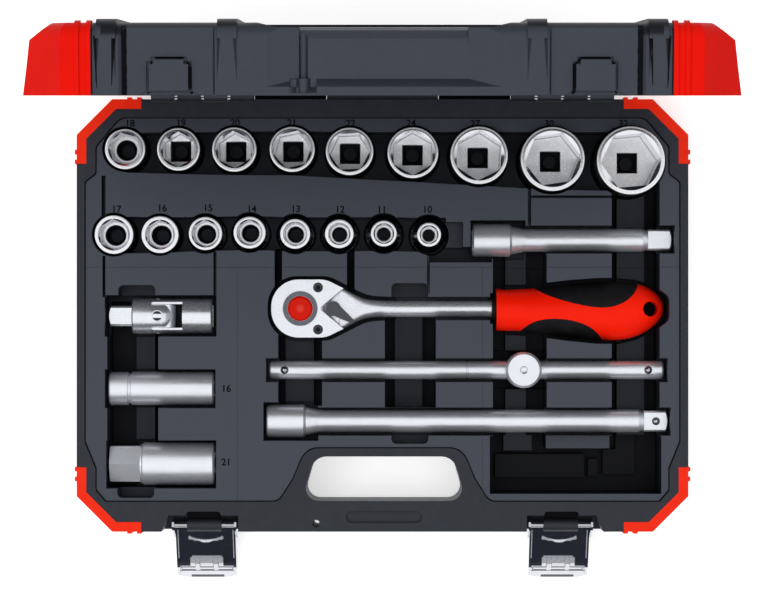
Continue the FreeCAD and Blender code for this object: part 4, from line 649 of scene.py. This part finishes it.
class DressLatches(bpy.types.Operator):
    """Gives the draw latches and the pins their bright plate"""
    bl_idname = "socket_box.dress_latches"
    bl_label = "Latches and pins"

    def execute(self, context):
        across = (1.0, 0.12, 1.0)
        # mirrors the dim room, and so looks nearly black between bright edges
        sheet = chrome_plate("polished_nickel_chrome_sheet", "C8CAD0", 0.13, 0.9, across)
        # pale and even from above
        strip = chrome_plate("brushed_nickel_chrome_strip", "D2D4D9", 0.3, 0.9, across, 0.55)
        # painted shadow: thin dark lines where the plate's folds and the hook's ribs would throw shade
        dark = chrome_plate("painted_fold_shadow_nickel", "4A4C52", 0.35, 0.5, ALL_WAYS, 0.6)
        for word, side in (("left", -1), ("right", 1)):
            plate, hook, body = "latch_plate_" + word, "latch_hook_" + word, "latch_" + word
            wear(plate, sheet)
            wear(hook, strip)
            x = side * LATCH_X
            fold_shade = bmesh.new()
            for y, half, wide in ((-158.8, 16.3, 0.4), (-160.9, 17.0, 0.75), (-164.9, 10.4, 1.3)):
                draped(fold_shade, plate, [(x - half, y), (x + half, y)], (wide, wide), 0.15)
            for offset in (-7.3, -4.3, 4.3, 7.3):
                draped(fold_shade, hook, [(x + offset, -153.3), (x + offset, -157.8)], (0.4, 0.4), 0.12)
            placed(body + "_painted_fold_shadows", fold_shade, dark, body)
            # painted highlight: a flat pale crescent and two pale side lines draped just over the plate,
            # where it shows bright
            highlight_strips = bmesh.new()
            crescent = [(x + 10.8 * t / 5, -138.6 + 2.7 * ((t / 5) ** 2 - 1)) for t in range(-5, 6)]
            draped(highlight_strips, plate, crescent, (1.6, 1.6), 0.5)
            for offset in (-17.3, 17.3):
                draped(highlight_strips, plate, [(x + offset, -134.2), (x + offset, -152.6)], (0.55, 0.55), 0.15)
            placed(body + "_painted_highlights", highlight_strips, strip, body)
        # a bright line along the pin
        pin = chrome_plate("bright_drawn_steel", "C4C5C7", 0.22, 0.5, (0.08, 1.0, 1.0))
        wear("hinge_pins", pin)
        wear("latch_pins", pin)
        return {"FINISHED"}


class DressSockets(bpy.types.Operator):
    """Gives the sockets and the spark plug sockets their polished chrome"""
    bl_idname = "socket_box.dress_sockets"
    bl_label = "Sockets"

    def execute(self, context):
        tools = context.scene.socket_box_tools
        # sharp, with a lay round the wall that draws its highlights upright
        chrome = chrome_plate("polished_chrome_vanadium", tools.socket_colour, 0.16, 0.7,
                              (1.0, 1.0, 0.1))
        # one broad soft highlight down the length
        brushed = chrome_plate("brushed_chrome_vanadium", tools.bar_colour, tools.bar_roughness, 0.5,
                               ALONG_X, 0.8)
        for size in SOCKET_SIZES:
            wear("socket_%d" % size, chrome)
        for size in SPARK_SIZES:
            wear("spark_socket_%d" % size, brushed)
            wear("spark_insert_%d" % size, soft_grip("spark_rubber_%d" % size, "1B1C1E", "2A2B2E"))
        return {"FINISHED"}


class AddSocketFaces(bpy.types.Operator):
    """Adds the ground mouth, the coned seat or web and the foot's edge of each standing socket"""
    bl_idname = "socket_box.add_socket_faces"
    bl_label = "Socket faces"

    def execute(self, context):
        tools = context.scene.socket_box_tools
        # the mouth, seat and foot's edge are cut faces; their near-white diffuse share is a painted
        # highlight that keeps them white from above, where polished chrome would mirror the dark room
        bright = chrome_plate("ground_chrome_with_painted_highlight", "F4F5F8", 0.22, 0.7, ALL_WAYS, 0.45)
        for size, (x, y, outside, length, turn) in SOCKETS.items():
            edge, top = outside / 2, SEAT + length
            centre = (x, y, 0)
            shape = bmesh.new()
            lathe(shape, [(edge + 0.01, top - 1.4), (edge + 0.01, top - 0.45), (edge - 0.16, top - 0.1),
                          (edge - 0.42, top + 0.03), (edge - 1.05, top + 0.03), (edge - 1.2, top - 0.1)],
                  centre)
            across = size + 0.2
            floor = top - length * (0.55 if size >= OPEN_WEB else 0.34)
            corner = turn + 90

            def hexagon(angle, reach=across / 2 - 0.01, corner=corner):
                return reach / math.cos(math.radians((angle - corner) % 60 - 30))

            if size >= OPEN_WEB:
                rows = []
                for step in range(72):
                    angle = corner + 5.0 * step
                    c, s = math.cos(math.radians(angle)), math.sin(math.radians(angle))
                    wall = hexagon(angle)
                    hole = (DRIVE_HALF + 0.05) / math.cos(math.radians((angle + 45) % 90 - 45))
                    rows.append([shape.verts.new(((x + r * c) * MM, (y + r * s) * MM, z * MM))
                                 for r, z in ((wall, floor + 0.9), (wall - 0.5, floor + 0.25),
                                              (hole + 0.25, floor + 0.06), (hole, floor - 0.2),
                                              (hole, floor - 5.0))])
                for i in range(72):
                    a, b = rows[i], rows[(i + 1) % 72]
                    for j in range(4):
                        shape.faces.new((a[j], b[j], b[j + 1], a[j + 1]))
            else:
                bore = min(0.39 * size, 6.45)
                lathe(shape, [(0, floor + 2.3), (bore + 1.45, floor + 0.35), (bore + 1.2, floor + 0.75),
                              (bore + 0.35, floor + 0.75), (bore + 0.03, floor + 0.4),
                              (bore + 0.03, floor - 0.1)], centre, start=corner, outline=hexagon)
            if outside < SLIM:
                lathe(shape, [(FOOT, SEAT + 14.4), (FOOT, SEAT + 15.0), (FOOT - 0.17, SEAT + 15.35),
                              (FOOT - 0.52, SEAT + 15.5)], centre)
            placed("socket_%d_ground_faces" % size, shape, bright, "socket_%d" % size)
        return {"FINISHED"}


class DressBars(bpy.types.Operator):
    """Gives the extensions, the sliding bar and the universal joint their satin chrome"""
    bl_idname = "socket_box.dress_bars"
    bl_label = "Bars and joint"

    def prongs(self, shape, side, root, upright):
        """Adds the two round-ended prongs of a fork whose body lies on one side of the crossing."""
        outline = [(side * root, -PRONG_HALF)]
        for step in range(25):
            angle = math.radians(PRONG_ARC * (step / 12 - 1))
            outline.append((-side * PRONG_END * math.cos(angle), PRONG_END * math.sin(angle)))
        outline.append((side * root, PRONG_HALF))
        nose = [(math.sqrt(PRONG_BALL ** 2 - x ** 2), x)
                for x in (-11.2, -10.5, -9.5, -8.3, -7.0, -5.5, -4.0, -2.7)]
        nose.append((PRONG_BASE, root))
        if side < 0:
            nose = [(radius, -x) for radius, x in nose[::-1]]
        inner, outer = PRONG_FACES
        for across in ((inner, outer), (-outer, -inner)):
            prong = carved("prong", solid_turned(nose, JOINT), [],
                           [solid_slab(outline, across, upright, JOINT)])
            shape.from_mesh(as_mesh("part", prong))

    def finish(self, node, shape, material):
        """Lets a new shape stand for a CAD node, on the body of the same name."""
        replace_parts(placed("dressed_" + node, shape, material, node), node)

    def execute(self, context):
        tools = context.scene.socket_box_tools
        # a white band down each bar that fades to grey at its sides
        satin = chrome_plate("satin_chrome_vanadium", tools.bar_colour, tools.bar_roughness, 0.5,
                             ALONG_X, 0.8)
        for node in ("extension_125", "extension_250", "tee_bar", "tee_head", "joint_driver",
                     "joint_socket", "joint_cross", "joint_pins"):
            wear(node, satin)
        # brighter than the bars, with firmer edges to its highlights
        bright = chrome_plate("polished_joint_chrome", tools.bar_colour, 0.24, 0.5, ALONG_X, 0.85)
        # a dark spot in the bright yoke
        dark = chrome_plate("blackened_pin_steel", "3A3C40", 0.4, 0.5, ALL_WAYS)
        driver = carved("driver",
                        solid_turned([(YOKE - 0.82, -16.0), (YOKE, -15.2), (YOKE, -2.0)], JOINT),
                        [solid_ball(THROAT, JOINT)])
        self.prongs(driver, -1, 14.0, True)
        square = carved("square", solid_turned([(5.7, -30.6), (8.1, -29.2), (8.1, -15.0)], JOINT), [],
                        [solid_box((-40, -DRIVE_HALF, -DRIVE_HALF), (0, DRIVE_HALF, DRIVE_HALF), JOINT)])
        driver.from_mesh(as_mesh("part", square))
        self.finish("joint_driver", driver, bright)
        hole = DRIVE_HALF + 0.15
        half = carved("half", solid_turned([(YOKE, 15.5), (YOKE, 33.2), (YOKE - 0.82, 34.0)], JOINT),
                      [solid_box((18.6, -hole, -hole), (40, hole, hole), JOINT)])
        self.prongs(half, 1, 18.0, False)
        self.finish("joint_socket", half, bright)
        block = carved("block", solid_box((-CROSS_HALF, -CROSS_HALF, -CROSS_HALF),
                                          (11.0, CROSS_HALF, CROSS_HALF), JOINT), [],
                       [solid_turned([(10.7, -8.0), (10.7, 8.0)], JOINT, "Y")])
        bmesh.ops.bevel(block, geom=[edge for edge in block.edges if edge.calc_face_angle(0.0) > 0.6],
                        offset=0.4 * MM, segments=2, affect="EDGES")
        self.finish("joint_cross", block, satin)
        lip = bmesh.new()
        lathe(lip, [(3.6, 10.4), (3.5, 11.14), (3.05, 11.18), (2.85, 10.9)], JOINT)
        placed("joint_pin_lip", lip, bright, "joint_driver")
        end = bmesh.new()
        lathe(end, [(2.84, 10.9), (0.02, 10.9)], JOINT, turns=COARSE)
        placed("joint_pin_end", end, dark, "joint_cross")
        # one small hard glint on each ball
        ball = chrome_plate("ground_ball_steel", "BFC0C3", 0.08, 0.4, ALL_WAYS)
        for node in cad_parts:
            if "_ball" in node:
                wear(node, ball)
        return {"FINISHED"}


class DressRatchet(bpy.types.Operator):
    """Gives the ratchet its satin head, red handle, black grips and red button"""
    bl_idname = "socket_box.dress_ratchet"
    bl_label = "Ratchet"

    def execute(self, context):
        tools = context.scene.socket_box_tools
        # pale and soft, so that the flat head looks almost white
        satin = chrome_plate("satin_chrome_ratchet", tools.bar_colour, 0.3, 0.6, (0.1, 1.0, 1.0), 0.8)
        # grey seams and screw heads
        dark = chrome_plate("blackened_screw_steel", "4C4E53", 0.38, 0.5, ALL_WAYS)
        wear("ratchet_cover", satin)
        wear("ratchet_gear", satin)
        # a dark grey wedge against the bright neck
        wear("ratchet_lever", chrome_plate("gunmetal_lever", "54565A", 0.34, 0.5, (1.0, 0.2, 1.0)))
        wear("ratchet_cover_screws", dark)
        # a full warm red that keeps its colour in the highlight
        wear("ratchet_handle", handle_plastic("red_handle_polypropylene", tools.handle_colour, "F21A06",
                                              0.32))
        # its paler centre is a painted reflection
        wear("ratchet_button", handle_plastic("red_acetal_button", tools.button_colour, "DE4434", 0.3,
                                              BUTTON))
        # black without a shine
        grip = soft_grip("black_grip_rubber", tools.grip_colour, "1C1C1F")
        wear("ratchet_grips", grip)
        wear("ratchet_collar", grip)

        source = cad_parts["ratchet_body"].data.copy()
        head = carved("head", source, [solid_box((-26.6, -40, 0), (120, 40, 80))])
        rows = []
        for x, half, low, top, square in NECK:
            row = []
            for step in range(SMOOTH):
                angle = 2 * math.pi * step / SMOOTH
                c, s = math.cos(angle), math.sin(angle)
                reach = (abs(c) ** square + abs(s) ** square) ** (-1 / square)
                row.append(head.verts.new((x * MM, (BUTTON[1] + half * reach * c) * MM,
                                           ((top + low) / 2 + (top - low) / 2 * reach * s) * MM)))
            rows.append(row)
        for a, b in zip(rows, rows[1:]):
            for i in range(SMOOTH):
                j = (i + 1) % SMOOTH
                head.faces.new((a[i], a[j], b[j], b[i]))
        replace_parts(placed("dressed_ratchet_body", head, satin, "ratchet"),
                    "ratchet_body")

        ring = bmesh.new()
        lathe(ring, [(10.95, COVER_TOP), (10.95, 41.95), (10.7, 42.16), (8.0, 42.16), (7.8, 41.9)],
              BUTTON + (0,))
        # a mid grey that parts the red button from the bright head
        acetal = moulded_plastic("grey_acetal_ring", "5E6067", "6C6E75", 0.4, 0.42)
        placed("ratchet_button_ring", ring, acetal, "ratchet")
        seam = bmesh.new()
        ribbon(seam, SEAM, 0.42, COVER_TOP + 0.02)
        placed("ratchet_cover_seam", seam, dark, "ratchet")
        heads, sockets = bmesh.new(), bmesh.new()
        for x, y in SCREWS:
            lathe(heads, [(3.1, COVER_TOP + 0.02), (2.5, COVER_TOP + 0.04), (2.3, COVER_TOP - 0.1),
                          (1.5, COVER_TOP - 0.16)], (x, y, 0), turns=COARSE)
            lathe(sockets, [(1.5, COVER_TOP - 0.15), (0.02, COVER_TOP - 0.15)], (x, y, 0), turns=6)
        placed("ratchet_screw_rims", heads, dark, "ratchet")
        # painted shade: the flat black hexagons in the screw heads stand for the shade in their hex
        # sockets
        placed("ratchet_screw_socket_shade", sockets, grip, "ratchet")
        return {"FINISHED"}


class AddStage(bpy.types.Operator):
    """Adds the pale floor, the soft lamps and the camera"""
    bl_idname = "socket_box.add_stage"
    bl_label = "Stage"

    def execute(self, context):
        stage = context.scene.socket_box_stage
        half = stage.floor_size / 2
        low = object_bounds()[0][2]
        mesh = bpy.data.meshes.new("floor")
        mesh.from_pydata([(-half, -half, low), (half, -half, low), (half, half, low),
                          (-half, half, low)], [], [(0, 1, 2, 3)])
        mesh.materials.append(light_floor("white_studio_sweep", stage.floor_colour))
        floor = bpy.data.objects.new("floor", mesh)
        context.collection.objects.link(floor)
        floor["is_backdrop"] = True

        world = context.scene.world or bpy.data.worlds.new("soft_white_room")
        context.scene.world = world
        world.use_nodes = True
        tree = world.node_tree
        tree.nodes.clear()
        strength = add(tree, "MapRange", {"Value": to_the_eye(tree), "To Min": 0.5, "To Max": 1.0})
        sky = add(tree, "Background", {"Color": (1.0, 1.0, 1.0, 1.0),
                                       "Strength": strength.outputs["Result"]})
        add(tree, "OutputWorld", {"Surface": sky.outputs["Background"]})

        lamp = bpy.data.lights.new("main_softbox", "AREA")
        lamp.shape = "SQUARE"
        lamp.size = 2.4
        lamp.energy = stage.key_power
        key = bpy.data.objects.new("main_softbox", lamp)
        key.location = (-0.35, -0.45, 2.3)
        key.rotation_euler = Vector((0.35, 0.45, -2.25)).to_track_quat("-Z", "Y").to_euler()
        context.collection.objects.link(key)
        key.visible_camera = False
        key.visible_glossy = False

        # dim cards that show in reflections only, in place of a white room on all sides
        for word, place, turn, tone in (("front", (0, -2.2, 1.0), (90, 0, 0), stage.front_card_colour),
                                        ("back", (0, 2.4, 1.1), (90, 0, 0), stage.card_colour),
                                        ("left", (-2.4, 0, 1.0), (90, 0, 90), stage.card_colour),
                                        ("right", (2.4, 0, 1.0), (90, 0, 90), stage.card_colour)):
            mesh = bpy.data.meshes.new("card_" + word)
            mesh.from_pydata([(-2.4, -0.9, 0), (2.4, -0.9, 0), (2.4, 0.9, 0), (-2.4, 0.9, 0)],
                             [], [(0, 1, 2, 3)])
            card_cloth, tree, shader, where = new_material("grey_card_" + word)
            tree.nodes.remove(shader)
            glow = add(tree, "Emission", {"Color": to_linear(tone)})
            tree.links.new(glow.outputs["Emission"], tree.nodes["Material Output"].inputs["Surface"])
            mesh.materials.append(card_cloth)
            card = bpy.data.objects.new("card_" + word, mesh)
            card.location = place
            card.rotation_euler = [math.radians(angle) for angle in turn]
            context.collection.objects.link(card)
            card.visible_camera = False
            card.visible_diffuse = False
            card.visible_shadow = False
            card.visible_transmission = False
            card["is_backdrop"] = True

        view = bpy.data.cameras.new("camera")
        view.sensor_width = 36.0
        view.sensor_fit = "HORIZONTAL"
        view.lens = stage.lens
        view.shift_y = 0.0625
        view.clip_end = 20.0
        camera = bpy.data.objects.new("camera", view)
        camera.location = CAMERA_AT + (stage.camera_height,)
        context.collection.objects.link(camera)
        context.scene.camera = camera
        context.scene.view_settings.view_transform = "Standard"
        return {"FINISHED"}


class SOCKETBOX_PT_panel(bpy.types.Panel):
    """Lists the pieces of the socket box and their sizes and colours"""
    bl_idname = "SOCKETBOX_PT_panel"
    bl_label = "Socket Box"
    bl_space_type = "VIEW_3D"
    bl_region_type = "UI"
    bl_category = "Socket Box"

    def draw(self, context):
        layout = self.layout
        for group in (context.scene.socket_box_case, context.scene.socket_box_tools,
                      context.scene.socket_box_stage):
            box = layout.box()
            for name in group.bl_rna.properties.keys():
                if name not in ("rna_type", "name"):
                    box.prop(group, name)
        for operator in OPERATORS:
            layout.operator(operator.bl_idname)


OPERATORS = (DressCase, DressGuards, DressTray, AddNumbers, DressLatches, DressSockets, AddSocketFaces,
             DressBars, DressRatchet, AddStage)
CLASSES = (CaseSettings, ToolSettings, StageSettings) + OPERATORS + (SOCKETBOX_PT_panel,)


def register():
    for cls in CLASSES:
        bpy.utils.register_class(cls)
    bpy.types.Scene.socket_box_case = bpy.props.PointerProperty(type=CaseSettings)
    bpy.types.Scene.socket_box_tools = bpy.props.PointerProperty(type=ToolSettings)
    bpy.types.Scene.socket_box_stage = bpy.props.PointerProperty(type=StageSettings)


def unregister():
    del bpy.types.Scene.socket_box_case
    del bpy.types.Scene.socket_box_tools
    del bpy.types.Scene.socket_box_stage
    for cls in reversed(CLASSES):
        bpy.utils.unregister_class(cls)


def main():
    register()
    for operator in OPERATORS:
        group, name = operator.bl_idname.split(".")
        getattr(getattr(bpy.ops, group), name)()
    bpy.context.view_layer.update()


if __name__ == "__main__":
    main()
